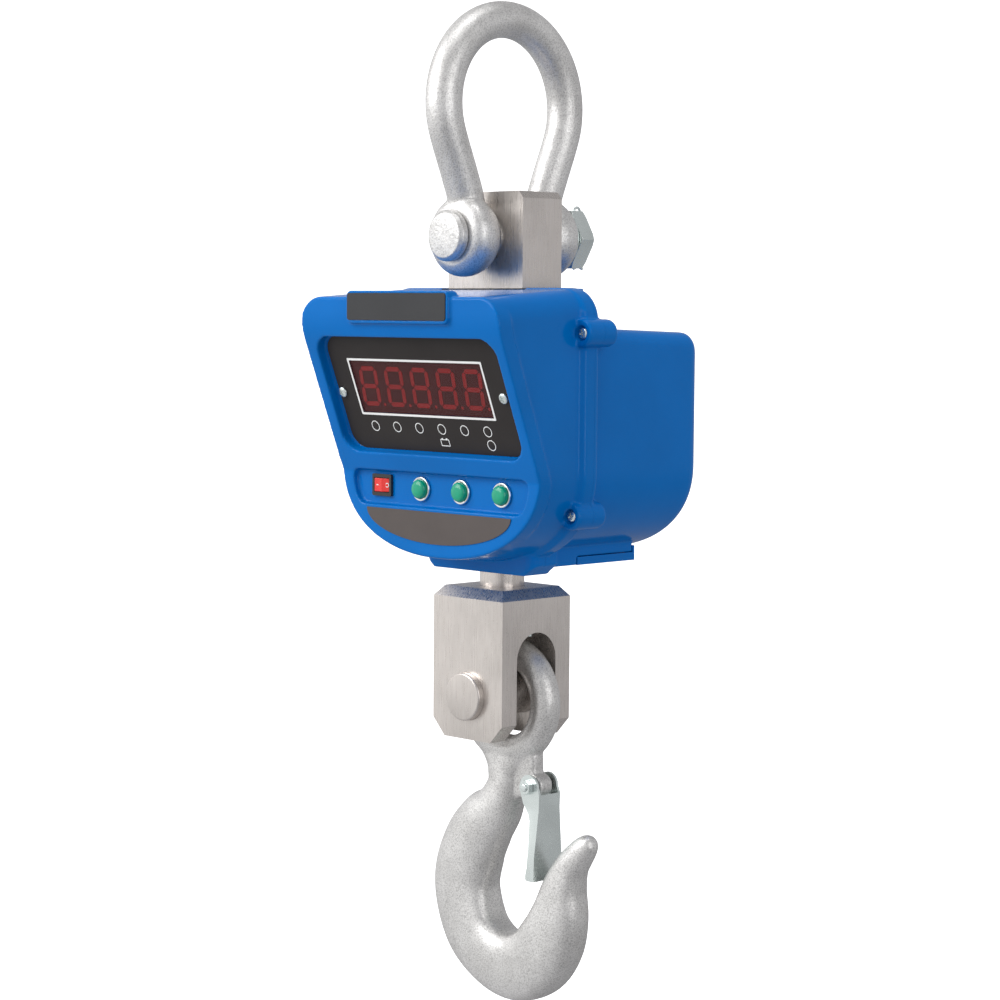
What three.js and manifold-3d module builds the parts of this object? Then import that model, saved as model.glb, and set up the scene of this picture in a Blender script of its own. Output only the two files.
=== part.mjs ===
// Crane scale: bow shackle, load cell in a two-part cast case with a display, swivelling hook block, latch hook.
// Millimetres. +Z up, -Y is the display side, +X is the right side seen from the display.
// Origin: inside top of the shackle bow, where the crane's hook bears.
import * as THREE from "three";
import { mergeVertices } from "three/addons/utils/BufferGeometryUtils.js";
import Module from "manifold-3d";

const wasm = await Module();
wasm.setup();

// ---- driving dimensions ----
const RUN = 0.3; // gap between neighbours
const ROUND = 24; // facets round a large cylinder
const SMALL = 12; // facets round a screw or a small hole
const BAR_R = 13.5; // shackle bar
const BOW_R = 62.8; // centre line of the bow
const PIN_Z = -145.4; // shackle pin axis
const EAR_IN = 23.4;
const EAR_OUT = 54;
const EAR_R = 29;
const PIN_R = 16;
const PIN_HEAD_R = 18.5;
const PIN_END = 82;
const CELL_W = 77.2;
const CELL_D = 40.5;
const CELL_TOP = -112.5;
const CASE_TOP = -182.4; // top of the case flange, zero height of the case group
const TILT = THREE.MathUtils.degToRad(21.3); // display leans to face the floor
const RIM_W = 103.5; // half widths of the case
const BODY_W = 100;
const FLANGE_W = 104;
const REAR_W = 96;
const SHOULDER = -129; // height where the straight sides end and the shield's round begins
const RIM_TOP = -8.2;
const RIM_LOW = -196;
const FACE_TOP_Y = -109.1; // upright part of the face above the display
const FACE_LOW_Y = -67; // upright part below it
const FACE_BREAK_HIGH = -29;
const FACE_BREAK_LOW = -136.9;
const WALL = 3.5;
const FACE_WALL = 11.5;
const FLANGE_CORNER = 20;
const PARTING = -13.8; // back of the front case
const REAR_START = -12.6; // front of the rear case
const FLANGE_T = 10.6;
const REAR_END = 113.5;
const REAR_TOP = -28;
const BELLY_W = 57;
const BELLY_D = 26;
const BELLY_LOW = -208.5;
const FOOT_LOW = -203.5; // underside of the battery cover
const FOOT_END = 88.7;
const COVER_FRONT = 28.5;
const COVER_T = 6;
const TAB_SCREW_X = 45.8;
const TAB_SCREW_Z = -195.4;
const PANEL_Y = -83.17; // centre of the display label
const PANEL_Z = -77.57;
const LABEL_W = 177.4;
const LABEL_H = 88.7;
const WINDOW_W = 140.3;
const WINDOW_H = 44.5;
const WINDOW_V = 5;
const DIGIT_PITCH = 27.1;
const CONTROL_Y = -62.5; // floor of the control recess
const CONTROL_Z = -147;
const CONTROL_PITCH = 41.7;
const LUGS = [
  { x: 104, z: -32 },
  { x: 94.6, z: -162 },
];
const LUG_R = 10;
const LUG_FRONT = -28;
const LUG_BACK = 1.2;
const SCREW_SEAT = LUG_FRONT + 4;
const SHAFT_R = 16.6;
const BLOCK_TOP = -402.7;
const BLOCK_LOW = -514.7;
const BLOCK_W = 72.5;
const BLOCK_D = 71;
const SLOT = 20.3; // half width of the slot for the hook's eye
const SLOT_TOP = -435;
const CLEVIS_Z = -482.6;
const CLEVIS_R = 17.7;
const CLEVIS_OUT = 5.7;
const HOOK_Y = 6; // the slack eye lies against the back cheek
const EYE_X = 3;
const EYE_Z = -489.3;
const EYE_R = 37.1;
const EYE_BAR = 11.2;
const LATCH_X = 34.3;
const LATCH_Z = -549.5;
const LATCH_IN = 9; // half width inside the latch at its pivot

const finishes = {
  galvanised: { color: 0xa9acae, roughness: 0.5, metalness: 0.8 },
  steel: { color: 0xb9b2aa, roughness: 0.35, metalness: 0.9 },
  zinc: { color: 0xb4c0c4, roughness: 0.3, metalness: 0.9 },
  blue: { color: 0x0062b8, roughness: 0.3, metalness: 0.0 },
  black: { color: 0x2a2827, roughness: 0.5, metalness: 0.0 },
  grey: { color: 0x6b6360, roughness: 0.5, metalness: 0.0 },
  lens: { color: 0x4a1f24, roughness: 0.1, metalness: 0.0 },
  segment: { color: 0xc8272b, roughness: 0.4, metalness: 0.0 },
  red: { color: 0xe8403a, roughness: 0.35, metalness: 0.0 },
  green: { color: 0x00a884, roughness: 0.3, metalness: 0.0 },
  chrome: { color: 0xd6d8da, roughness: 0.1, metalness: 1.0 },
  board: { color: 0x1d5c35, roughness: 0.6, metalness: 0.0 },
  rubber: { color: 0x1b1b1c, roughness: 0.9, metalness: 0.0 },
};

// ---- solids ----
function solidOf(geometry) {
  const loose = geometry.index ? geometry.toNonIndexed() : geometry.clone();
  loose.deleteAttribute("normal");
  loose.deleteAttribute("uv");
  const merged = mergeVertices(loose, 1e-4);
  const triVerts = new Uint32Array(merged.index.array);
  const vertProperties = merged.attributes.position.array;
  return new wasm.Manifold(new wasm.Mesh({ numProp: 3, vertProperties, triVerts }));
}

function geometryOf(solid) {
  const made = solid.getMesh();
  const geometry = new THREE.BufferGeometry();
  const positions = new Float32Array(made.numVert * 3);
  for (let i = 0; i < made.numVert; i++) {
    positions.set(made.vertProperties.subarray(i * made.numProp, i * made.numProp + 3), i * 3);
  }
  geometry.setAttribute("position", new THREE.BufferAttribute(positions, 3));
  geometry.setIndex(new THREE.BufferAttribute(made.triVerts, 1));
  geometry.computeVertexNormals();
  return geometry;
}

function joined(...solids) {
  return solids.reduce((whole, piece) => whole.add(piece));
}

function cut(solid, ...tools) {
  return tools.reduce((rest, tool) => rest.subtract(tool), solid);
}

function box(x0, x1, y0, y1, z0, z1) {
  const geometry = new THREE.BoxGeometry(x1 - x0, y1 - y0, z1 - z0);
  return solidOf(geometry.translate((x0 + x1) / 2, (y0 + y1) / 2, (z0 + z1) / 2));
}

// A turned piece along X, Y or Z: steps are [position along the axis, radius] pairs.
function turned(axis, x, y, z, steps, facets = ROUND) {
  const first = steps[0][0];
  const last = steps[steps.length - 1][0];
  const profile = [[first, 0], ...steps, [last, 0]];
  const points = profile.map(([along, radius]) => new THREE.Vector2(radius, along));
  const geometry = new THREE.LatheGeometry(points, facets);
  if (axis === "z") geometry.rotateX(Math.PI / 2);
  if (axis === "x") geometry.rotateZ(-Math.PI / 2);
  return solidOf(geometry.translate(x, y, z));
}

function rod(axis, x, y, z, from, to, radius, facets = ROUND) {
  return turned(axis, x, y, z, [[from, radius], [to, radius]], facets);
}

// A flat outline in X and Z, made solid from one Y to another.
function slab(shape, y0, y1, curveSegments = 3) {
  const geometry = new THREE.ExtrudeGeometry(shape, { depth: y1 - y0, bevelEnabled: false, curveSegments });
  return solidOf(geometry.rotateX(Math.PI / 2).translate(0, y1, 0));
}

// A flat outline in Y and Z, made solid from one X to another.
function crossSlab(points, x0, x1) {
  const shape = new THREE.Shape(points.map(([y, z]) => new THREE.Vector2(y, z)));
  const geometry = new THREE.ExtrudeGeometry(shape, { depth: x1 - x0, bevelEnabled: false });
  geometry.rotateX(Math.PI / 2).rotateZ(Math.PI / 2);
  return solidOf(geometry.translate(x0, 0, 0));
}

function roundedRectangle(width, height, radius, cx = 0, cy = 0) {
  const x = width / 2 - radius;
  const y = height / 2 - radius;
  const shape = new THREE.Shape();
  shape.absarc(cx + x, cy + y, radius, 0, Math.PI / 2);
  shape.absarc(cx - x, cy + y, radius, Math.PI / 2, Math.PI);
  shape.absarc(cx - x, cy - y, radius, Math.PI, 1.5 * Math.PI);
  shape.absarc(cx + x, cy - y, radius, 1.5 * Math.PI, 2 * Math.PI);
  return shape;
}

// A plate lying in the local X and Y, from one height to another.
function plate(shape, z0, z1, curveSegments = 3) {
  const geometry = new THREE.ExtrudeGeometry(shape, { depth: z1 - z0, bevelEnabled: false, curveSegments });
  return solidOf(geometry.translate(0, 0, z0));
}

// Rings of equally many points are skinned and closed with a fan at each end.
function loft(rings) {
  const count = rings[0].length;
  const points = rings.flat();
  const faces = [];
  for (let r = 0; r + 1 < rings.length; r++) {
    for (let i = 0; i < count; i++) {
      const a = r * count + i;
      const b = r * count + ((i + 1) % count);
      faces.push(a, b, b + count, a, b + count, a + count);
    }
  }
  for (const [ring, start, turn] of [[rings[0], 0, 1], [rings.at(-1), (rings.length - 1) * count, 0]]) {
    const middle = ring.reduce((sum, p) => sum.add(p), new THREE.Vector3()).divideScalar(count);
    points.push(middle);
    for (let i = 0; i < count; i++) {
      const pair = [start + i, start + ((i + 1) % count)];
      faces.push(points.length - 1, pair[turn], pair[1 - turn]);
    }
  }
  const volume = faces.reduce((sum, f, i) => {
    if (i % 3) return sum;
    return sum + points[f].dot(points[faces[i + 1]].clone().cross(points[faces[i + 2]]));
  }, 0);
  if (volume < 0) faces.reverse();
  const geometry = new THREE.BufferGeometry().setFromPoints(points);
  return solidOf(geometry.setIndex(faces));
}

// The case's shield outline at one depth: level top with round corners, straight sides, rounded foot.
function shield(y, halfWidth, top, low, corner = 13) {
  const squareness = 2 / 2.25;
  const ring = [];
  for (const side of [1, -1]) {
    const arc = [0, 1 / 3, 2 / 3, 1].map((t) => {
      const angle = (t * Math.PI) / 2;
      const x = halfWidth - corner + corner * Math.sin(angle);
      return new THREE.Vector3(side * x, y, top - corner + corner * Math.cos(angle));
    });
    const foot = Array.from({ length: 10 }, (_, i) => {
      const angle = (i / 10) * (Math.PI / 2);
      const x = halfWidth * Math.cos(angle) ** squareness;
      return new THREE.Vector3(side * x, y, SHOULDER - (SHOULDER - low) * Math.sin(angle) ** squareness);
    });
    const half = [...arc, ...foot];
    if (side < 0) half.reverse();
    if (side > 0) half.push(new THREE.Vector3(0, y, low));
    ring.push(...half);
  }
  return ring;
}

// Everything behind the case's face, which is upright, leaning and upright again.
function behindFace(depth) {
  const far = 150;
  const high = 60;
  const deep = -260;
  return crossSlab([
    [FACE_TOP_Y + depth, high],
    [FACE_TOP_Y + depth, FACE_BREAK_HIGH],
    [FACE_LOW_Y + depth, FACE_BREAK_LOW],
    [FACE_LOW_Y + depth, deep],
    [far, deep],
    [far, high],
  ], -far, far);
}

// A bar of oval section along stations [x, z, half depth in the plane, half thickness across it].
function forgedBar(stations, y, steps, facets = 14) {
  const path = new THREE.CatmullRomCurve3(stations.map(([x, z]) => new THREE.Vector3(x, 0, z)), false, "centripetal");
  const sizes = new THREE.CatmullRomCurve3(stations.map(([, , a, b]) => new THREE.Vector3(a, b, 0)), false, "centripetal");
  const rings = Array.from({ length: steps + 1 }, (_, s) => {
    const t = s / steps;
    const centre = path.getPoint(t);
    const tangent = path.getTangent(t);
    const size = sizes.getPoint(t);
    return Array.from({ length: facets }, (_, i) => {
      const angle = (i / facets) * 2 * Math.PI;
      const inPlane = size.x * Math.cos(angle);
      const across = size.y * Math.sin(angle);
      return new THREE.Vector3(centre.x - tangent.z * inPlane, y + across, centre.z + tangent.x * inPlane);
    });
  });
  return loft(rings);
}

function hexagon(acrossFlats, firstCorner = Math.PI / 6) {
  const shape = new THREE.Shape();
  const corner = acrossFlats / Math.sqrt(3);
  const corners = Array.from({ length: 6 }, (_, i) => {
    const angle = firstCorner + (i * Math.PI) / 3;
    return new THREE.Vector2(corner * Math.cos(angle), corner * Math.sin(angle));
  });
  return shape.setFromPoints(corners);
}

function named(name, solid, finish) {
  const mesh = new THREE.Mesh(geometryOf(solid), new THREE.MeshStandardMaterial(finishes[finish]));
  mesh.name = name;
  return mesh;
}

// ---- shackle ----
function shackle() {
  const group = new THREE.Group();
  const bowCentre = -BAR_R - BOW_R + 2 * BAR_R;
  const legTurn = THREE.MathUtils.degToRad(22);
  const half = [];
  for (let i = 0; i <= 6; i++) {
    const angle = (i / 6) * (Math.PI / 2 + legTurn);
    half.push(new THREE.Vector3(0, BOW_R * Math.sin(angle), bowCentre + BOW_R * Math.cos(angle)));
  }
  const earMiddle = (EAR_IN + EAR_OUT) / 2;
  half.push(new THREE.Vector3(0, 46.5, PIN_Z + 44));
  half.push(new THREE.Vector3(0, earMiddle, PIN_Z + 14));
  const other = half.slice(1).reverse().map((p) => new THREE.Vector3(0, -p.y, p.z));
  const path = new THREE.CatmullRomCurve3([...other, ...half], false, "centripetal");
  const steps = 38;
  const rings = Array.from({ length: steps + 1 }, (_, s) => {
    const centre = path.getPoint(s / steps);
    const tangent = path.getTangent(s / steps);
    return Array.from({ length: 16 }, (_, i) => {
      const angle = (i / 16) * 2 * Math.PI;
      const inPlane = BAR_R * Math.cos(angle);
      return new THREE.Vector3(
        BAR_R * Math.sin(angle), centre.y - tangent.z * inPlane, centre.z + tangent.y * inPlane);
    });
  });
  const ears = [-1, 1].map((side) => {
    const steps = [[EAR_IN, 18.5], [27, 22.5], [31, 26.3], [38, EAR_R], [EAR_OUT - 8, EAR_R], [EAR_OUT, 23]];
    return turned("y", 0, 0, PIN_Z, side > 0 ? steps : steps.map(([y, r]) => [-y, r]).reverse());
  });
  const jaw = box(-40, 40, -EAR_IN, EAR_IN, PIN_Z - 40, PIN_Z + 26);
  const bore = rod("y", 0, 0, PIN_Z, -70, 70, PIN_R + RUN);
  const faces = [-1, 1].map((side) => {
    const edges = [side * EAR_OUT, side * 90].sort((a, b) => a - b);
    return box(-40, 40, ...edges, PIN_Z - 40, PIN_Z + 23);
  });
  group.add(named("shackle_bow", cut(joined(loft(rings), ...ears), jaw, bore, ...faces), "galvanised"));

  const cotterY = PIN_END - 5;
  const pin = turned("y", 0, 0, PIN_Z, [
    [-EAR_OUT - 8.5, PIN_HEAD_R - 2],
    [-EAR_OUT - 6.5, PIN_HEAD_R],
    [-EAR_OUT - RUN, PIN_HEAD_R],
    [-EAR_OUT - RUN, PIN_R],
    [EAR_OUT + 2, PIN_R],
    [EAR_OUT + 2, PIN_R - 1.6],
    [PIN_END - 1.5, PIN_R - 1.6],
    [PIN_END, PIN_R - 3],
  ]);
  const cotterHole = rod("z", 0, cotterY, PIN_Z, -30, 30, 2.6, SMALL);
  group.add(named("shackle_pin", cut(pin, cotterHole), "galvanised"));

  const washer = cut(
    rod("y", 0, 0, PIN_Z, EAR_OUT + RUN, EAR_OUT + 3, 22),
    rod("y", 0, 0, PIN_Z, 0, 90, PIN_R + 0.5),
  );
  group.add(named("shackle_washer", washer, "zinc"));

  const nutBody = slab(hexagon(43, 0), EAR_OUT + 3.3, EAR_OUT + 17.5).translate([0, 0, PIN_Z]);
  const nut = cut(nutBody, rod("y", 0, 0, PIN_Z, 0, 90, PIN_R - 1.6 + RUN));
  group.add(named("shackle_nut", nut, "zinc"));

  const cotter = joined(
    rod("z", 0, cotterY, PIN_Z, -21, 19, 2.2, SMALL),
    rod("x", 0, cotterY, PIN_Z + 20, -2.4, 2.4, 4.4, SMALL),
    rod("y", 0, cotterY, PIN_Z - 20, 0, 8, 1.8, SMALL),
  );
  group.add(named("cotter_pin", cotter, "zinc"));
  return group;
}

// ---- load cell, with the thrust bearing that the hook block hangs on ----
const CELL_WAIST_TOP = -207;
const CELL_WAIST_LOW = -295;
const CELL_LOW = -380;
const POCKET_TOP = -308;
const POCKET_FLOOR = -352;
const POCKET_W = 29;
const STUD_R = 13.5;

function loadCell() {
  const group = new THREE.Group();
  const halfW = CELL_W / 2;
  const waist = 27;
  const shape = new THREE.Shape();
  shape.moveTo(-halfW, CELL_LOW);
  shape.lineTo(halfW, CELL_LOW);
  shape.lineTo(halfW, CELL_WAIST_LOW);
  shape.lineTo(waist, CELL_WAIST_LOW + 10);
  shape.lineTo(waist, CELL_WAIST_TOP - 10);
  shape.lineTo(halfW, CELL_WAIST_TOP);
  shape.lineTo(halfW, CELL_TOP - 5.1);
  shape.lineTo(halfW - 4.2, CELL_TOP);
  shape.lineTo(-halfW + 4.2, CELL_TOP);
  shape.lineTo(-halfW, CELL_TOP - 5.1);
  shape.lineTo(-halfW, CELL_WAIST_TOP);
  shape.lineTo(-waist, CELL_WAIST_TOP - 10);
  shape.lineTo(-waist, CELL_WAIST_LOW + 10);
  shape.lineTo(-halfW, CELL_WAIST_LOW);
  const sensing = [-262, -240].map((z) => rod("y", 0, 0, z, -40, 40, 14));
  const body = cut(
    slab(shape, -CELL_D / 2, CELL_D / 2),
    rod("y", 0, 0, PIN_Z, -40, 40, PIN_R + 0.6),
    ...sensing,
    box(-POCKET_W, POCKET_W, -40, 40, POCKET_FLOOR, POCKET_TOP),
    rod("z", 0, 0, 0, CELL_LOW - 5, POCKET_FLOOR + 5, SHAFT_R + 0.4),
  );
  group.add(named("load_cell", body, "steel"));

  for (const [name, side] of [["front_gauge_cover", -1], ["rear_gauge_cover", 1]]) {
    const near = side * (CELL_D / 2 + RUN);
    const far = side * (CELL_D / 2 + 2);
    const cover = slab(roundedRectangle(48, 66, 6, 0, -251), Math.min(near, far), Math.max(near, far));
    group.add(named(name, cover, "steel"));
  }

  const bearing = cut(
    rod("z", 0, 0, 0, POCKET_FLOOR + RUN, POCKET_FLOOR + 11, 24),
    rod("z", 0, 0, 0, POCKET_FLOOR - 5, POCKET_FLOOR + 20, STUD_R + 0.5),
  );
  group.add(named("thrust_bearing", bearing, "steel"));
  return group;
}

// ---- case ----
function eachLug(make) {
  return LUGS.flatMap((lug) => [1, -1].map((side) => make(lug, side)));
}

const CELL_GAP_X = 43;
const CELL_GAP_Y = 24.5;

function frontCase() {
  const rim = loft([-125, -20].map((y) => shield(y, RIM_W, RIM_TOP, RIM_LOW)));
  const body = loft([
    shield(-125, BODY_W, RIM_TOP - 1, RIM_LOW + 1),
    shield(PARTING - FLANGE_T + 1.8, BODY_W, -1, -200, FLANGE_CORNER - 3),
  ]);
  const flange = loft([
    shield(PARTING - FLANGE_T, FLANGE_W - 3, -2, -201, FLANGE_CORNER - 2),
    shield(PARTING - FLANGE_T + 3, FLANGE_W, 0, -203, FLANGE_CORNER),
    shield(PARTING, FLANGE_W, 0, -203, FLANGE_CORNER),
  ]);
  const lugs = eachLug((lug, side) => rod("y", side * lug.x, 0, lug.z, LUG_FRONT, PARTING, LUG_R));
  const bellySides = slab(new THREE.Shape(bellyOutline(BELLY_W)), -BELLY_D, 0);
  const belly = plate(roundedRectangle(2 * BELLY_W, 2 * BELLY_D, 8), BELLY_LOW, -185).intersect(bellySides);
  const tab = slab(roundedRectangle(106, 23.4, 4, 3, -14.7), FACE_TOP_Y - 3, FACE_TOP_Y + 8);
  const outside = joined(
    cut(rim.intersect(behindFace(0)), behindFace(12)),
    body.intersect(behindFace(3)),
    flange,
    belly,
    tab,
    ...lugs,
  ).subtract(box(-150, 150, PARTING, 150, -260, 60));

  const inner = loft([
    shield(-125, BODY_W - WALL, RIM_TOP - WALL - 1, RIM_LOW + WALL),
    shield(-18, BODY_W - WALL, -1 - WALL, -200 + WALL, FLANGE_CORNER - 3),
    shield(20, BODY_W - WALL, -1 - WALL, -200 + WALL, FLANGE_CORNER - 3),
  ]).intersect(behindFace(FACE_WALL));
  const bellyRoom = box(-41, 41, -22.5, 22.5, BELLY_LOW + 3, -150);
  const cellGap = box(-CELL_GAP_X, CELL_GAP_X, -CELL_GAP_Y, CELL_GAP_Y, -14, 5);
  const shaftGap = rod("z", 0, 0, 0, -230, -190, 22.5);
  const screwHoles = eachLug((lug, side) => joined(
    rod("y", side * lug.x, 0, lug.z, LUG_FRONT - 1, SCREW_SEAT, 5.8, SMALL),
    rod("y", side * lug.x, 0, lug.z, LUG_FRONT, 5, 2.8, SMALL),
  ));
  const recess = slab(controlRecessShape(), FACE_LOW_Y - 40, CONTROL_Y);
  const rockerHole = box(rockerX() - 9.2, rockerX() + 9.2, -90, -40, CONTROL_Z - 6.2, CONTROL_Z + 7.8);
  const buttonHoles = buttonXs().map((x) => rod("y", x, 0, CONTROL_Z, -90, -40, 8.3));
  const plateRecess = slab(roundedRectangle(103, 20, 2, 3, -14.4), FACE_TOP_Y - 6, FACE_TOP_Y - 2);
  const labelRecess = onPanel(plate(roundedRectangle(LABEL_W + 4, LABEL_H + 4, 15), -1.4, 40));
  const windowHole = onPanel(plate(roundedRectangle(138, 41.5, 2, 0, WINDOW_V), -30, 5));
  const labelScrewHoles = [-1, 1].map((side) => onPanel(rod("z", side * 84, 0.3, 0, -12, 5, 1.9, SMALL)));
  return named("front_case", cut(
    outside, inner, bellyRoom, cellGap, shaftGap, ...screwHoles, recess, rockerHole, ...buttonHoles,
    plateRecess, labelRecess, windowHole, ...labelScrewHoles,
  ), "blue");
}

function controlRecessShape() {
  const top = -135;
  const low = -160.5;
  const shape = new THREE.Shape();
  shape.moveTo(-84, top);
  shape.lineTo(84, top);
  shape.quadraticCurveTo(92, top, 91, top - 8);
  shape.quadraticCurveTo(88, low, 78, low);
  shape.lineTo(-78, low);
  shape.quadraticCurveTo(-88, low, -91, top - 8);
  shape.quadraticCurveTo(-92, top, -84, top);
  return shape;
}

// The belly under the case, whose lower ends are bevelled.
function bellyOutline(halfWidth) {
  return [
    [-halfWidth, -185], [-halfWidth, BELLY_LOW + 8], [10 - halfWidth, BELLY_LOW],
    [halfWidth - 10, BELLY_LOW], [halfWidth, BELLY_LOW + 8], [halfWidth, -185],
  ].map(([x, z]) => new THREE.Vector2(x, z));
}

// The display panel's own frame: X right, Y up the panel, Z out of it.
function panelMatrix() {
  const turn = new THREE.Matrix4().makeRotationX(Math.PI / 2 + TILT);
  return turn.setPosition(0, PANEL_Y, PANEL_Z);
}

function onPanel(solid) {
  return solid.transform(panelMatrix().elements);
}

function rearCase() {
  const tub = loft([
    shield(REAR_START, REAR_W, REAR_TOP, -197, 12),
    shield(REAR_END - 12, REAR_W - 1, REAR_TOP - 3.5, -196.5, 12),
    shield(REAR_END - 3.6, REAR_W - 4.5, REAR_TOP - 7, -193, 12),
    shield(REAR_END, REAR_W - 12, REAR_TOP - 15, -184.5, 10),
  ]);
  const flange = loft([
    shield(REAR_START, FLANGE_W, 0, -203, FLANGE_CORNER),
    shield(REAR_START + 4, FLANGE_W, 0, -203, FLANGE_CORNER),
    shield(REAR_START + 7, FLANGE_W - 3, -3, -200, FLANGE_CORNER - 3),
  ]);
  const shoulder = box(-52, 52, REAR_START, 31, -40, 0);
  const lugs = eachLug((lug, side) => rod("y", side * lug.x, 0, lug.z, REAR_START, LUG_BACK, LUG_R));
  const webs = eachLug((lug, side) => {
    const outer = side * lug.x;
    const inner = side * (lug.x - 24);
    return box(Math.min(outer, inner), Math.max(outer, inner), REAR_START, LUG_BACK, lug.z - 7, lug.z + 7);
  });
  const collar = rod("z", 0, 0, 0, BELLY_LOW, -190, BELLY_D + 2);
  const bellyBack = slab(new THREE.Shape(bellyOutline(BELLY_W)), REAR_START, 0);
  const foot = box(-50, 50, REAR_START, FOOT_END, FOOT_LOW + COVER_T + RUN, -170);
  const footRim = box(-50, 50, REAR_START, COVER_FRONT - RUN, FOOT_LOW, -190);
  const outside = joined(tub, flange, shoulder, ...lugs, ...webs, collar, bellyBack, foot, footRim).subtract(
    box(-150, 150, -150, REAR_START, -260, 60));

  const inner = loft([
    shield(-20, REAR_W - WALL, REAR_TOP - WALL, -197 + WALL, 10),
    shield(REAR_END - 14, REAR_W - 1 - WALL, REAR_TOP - 3.5 - WALL, -196.5 + WALL, 10),
    shield(REAR_END - WALL, REAR_W - 14, REAR_TOP - 17, -182, 10),
  ]);
  const shoulderRoom = box(-48, 48, REAR_START - 1, 27, -45, -3.5);
  const bellyRoom = box(-41, 41, REAR_START - 1, 22.5, FOOT_LOW + 3, -150);
  const cellGap = box(-CELL_GAP_X, CELL_GAP_X, -CELL_GAP_Y, CELL_GAP_Y, -14, 5);
  const shaftGap = rod("z", 0, 0, 0, -230, -190, 22.5);
  const screwHoles = eachLug((lug, side) => rod("y", side * lug.x, 0, lug.z, REAR_START - 1, LUG_BACK - 3, 2.8, SMALL));
  const batteryDoor = box(-43, 43, 38, 84, -230, -160);
  const tabHoles = [-1, 1].map((side) => rod("y", side * TAB_SCREW_X, 0, TAB_SCREW_Z, 84.2, 95, 1.9, SMALL));
  const socketHole = joined(
    rod("y", -60, 0, -60, 90, 130, 6.4),
    rod("y", -60, 0, -60, REAR_END - 2, 130, 8.6),
  );
  return named("rear_case", cut(
    outside, inner, shoulderRoom, bellyRoom, cellGap, shaftGap, ...screwHoles, batteryDoor, ...tabHoles, socketHole,
  ), "blue");
}

function caseGasket(name, side) {
  const before = PARTING - 1;
  const after = REAR_START + 1;
  const ring = cut(
    loft([PARTING + RUN, REAR_START - RUN].map((y) => shield(y, FLANGE_W - 1.5, -1.5, -201.5, FLANGE_CORNER - 1))),
    loft([before, after].map((y) => shield(y, BODY_W - WALL, -1 - WALL, -200 + WALL, FLANGE_CORNER - 3))),
    box(-CELL_GAP_X - 2, CELL_GAP_X + 2, before, after, -40, 10),
    box(-BELLY_W, BELLY_W, before, after, -220, -180),
  );
  const other = side > 0 ? box(-150, 0, before, after, -260, 60) : box(0, 150, before, after, -260, 60);
  const holes = LUGS.map((lug) => rod("y", side * lug.x, 0, lug.z, before, after, 3.2, SMALL));
  return named(name, cut(ring, other, ...holes), "rubber");
}

function caseScrew(name, lug, side) {
  const x = side * lug.x;
  const top = SCREW_SEAT - 3.2;
  const body = turned("y", x, 0, lug.z, [
    [top, 2.5], [top + 0.7, 4.2], [SCREW_SEAT - RUN, 4.6], [SCREW_SEAT - RUN, 2.4], [LUG_BACK - 4, 2.4],
  ], SMALL);
  const slot = joined(
    box(x - 2.4, x + 2.4, top - 1, top + 1.4, lug.z - 0.5, lug.z + 0.5),
    box(x - 0.5, x + 0.5, top - 1, top + 1.4, lug.z - 2.4, lug.z + 2.4),
  );
  return named(name, cut(body, slot), "zinc");
}

function seals() {
  const top = cut(
    plate(roundedRectangle(2 * CELL_GAP_X - 0.6, 2 * CELL_GAP_Y - 0.6, 2), -12, -0.5),
    box(-CELL_W / 2 - RUN, CELL_W / 2 + RUN, -CELL_D / 2 - RUN, CELL_D / 2 + RUN, -20, 10),
  );
  const low = cut(
    rod("z", 0, 0, 0, BELLY_LOW + 0.3, BELLY_LOW + 3.2, 22.2),
    rod("z", 0, 0, 0, -230, -190, SHAFT_R + 0.5),
  );
  return [named("top_seal", top, "rubber"), named("shaft_seal", low, "rubber")];
}

// ---- display ----
function displayPanel() {
  const group = new THREE.Group();
  const label = cut(
    plate(roundedRectangle(LABEL_W, LABEL_H, 13), -1.1, 0),
    plate(roundedRectangle(WINDOW_W, WINDOW_H, 1, 0, WINDOW_V), -5, 5),
    ...[-1, 1].map((side) => rod("z", side * 84, 0.3, 0, -5, 5, 2.2, SMALL)),
  );
  group.add(named("display_label", label, "black"));
  const lens = plate(roundedRectangle(WINDOW_W - 0.6, WINDOW_H - 0.6, 1, 0, WINDOW_V), -1.1, -0.1);
  group.add(named("display_window", lens, "lens"));
  for (let i = 0; i < 5; i++) {
    const x = (i - 2) * DIGIT_PITCH;
    const module = plate(roundedRectangle(DIGIT_PITCH - 0.5, 38, 0.5, x, WINDOW_V + 1), -9.9, -1.8, 2);
    group.add(named(`digit_${i + 1}`, module, "segment"));
  }
  const board = plate(roundedRectangle(160, 66, 2, 0, WINDOW_V - 4), -11.9, -10.3);
  group.add(named("display_board", board, "board"));
  for (const [name, side] of [["left_label_screw", -1], ["right_label_screw", 1]]) {
    const head = turned("z", side * 84, 0.3, 0, [
      [-9, 1.6], [RUN, 1.6], [RUN, 4], [1.3, 3.6], [2.1, 2],
    ], SMALL);
    const slot = joined(
      box(side * 84 - 2, side * 84 + 2, -0.2, 0.8, 1, 3),
      box(side * 84 - 0.5, side * 84 + 0.5, -1.7, 2.3, 1, 3),
    );
    group.add(named(name, cut(head, slot), "zinc"));
  }
  group.applyMatrix4(panelMatrix());
  return group;
}

function capacityPlate() {
  const body = slab(roundedRectangle(102.3, 19.3, 2, 3, -14.4), FACE_TOP_Y - 3.4, FACE_TOP_Y - 2.3);
  return named("capacity_plate", body, "grey");
}

// ---- controls ----
function rockerX() {
  return -1.5 * CONTROL_PITCH;
}

function buttonXs() {
  return [-0.5, 0.5, 1.5].map((step) => step * CONTROL_PITCH);
}

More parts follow.
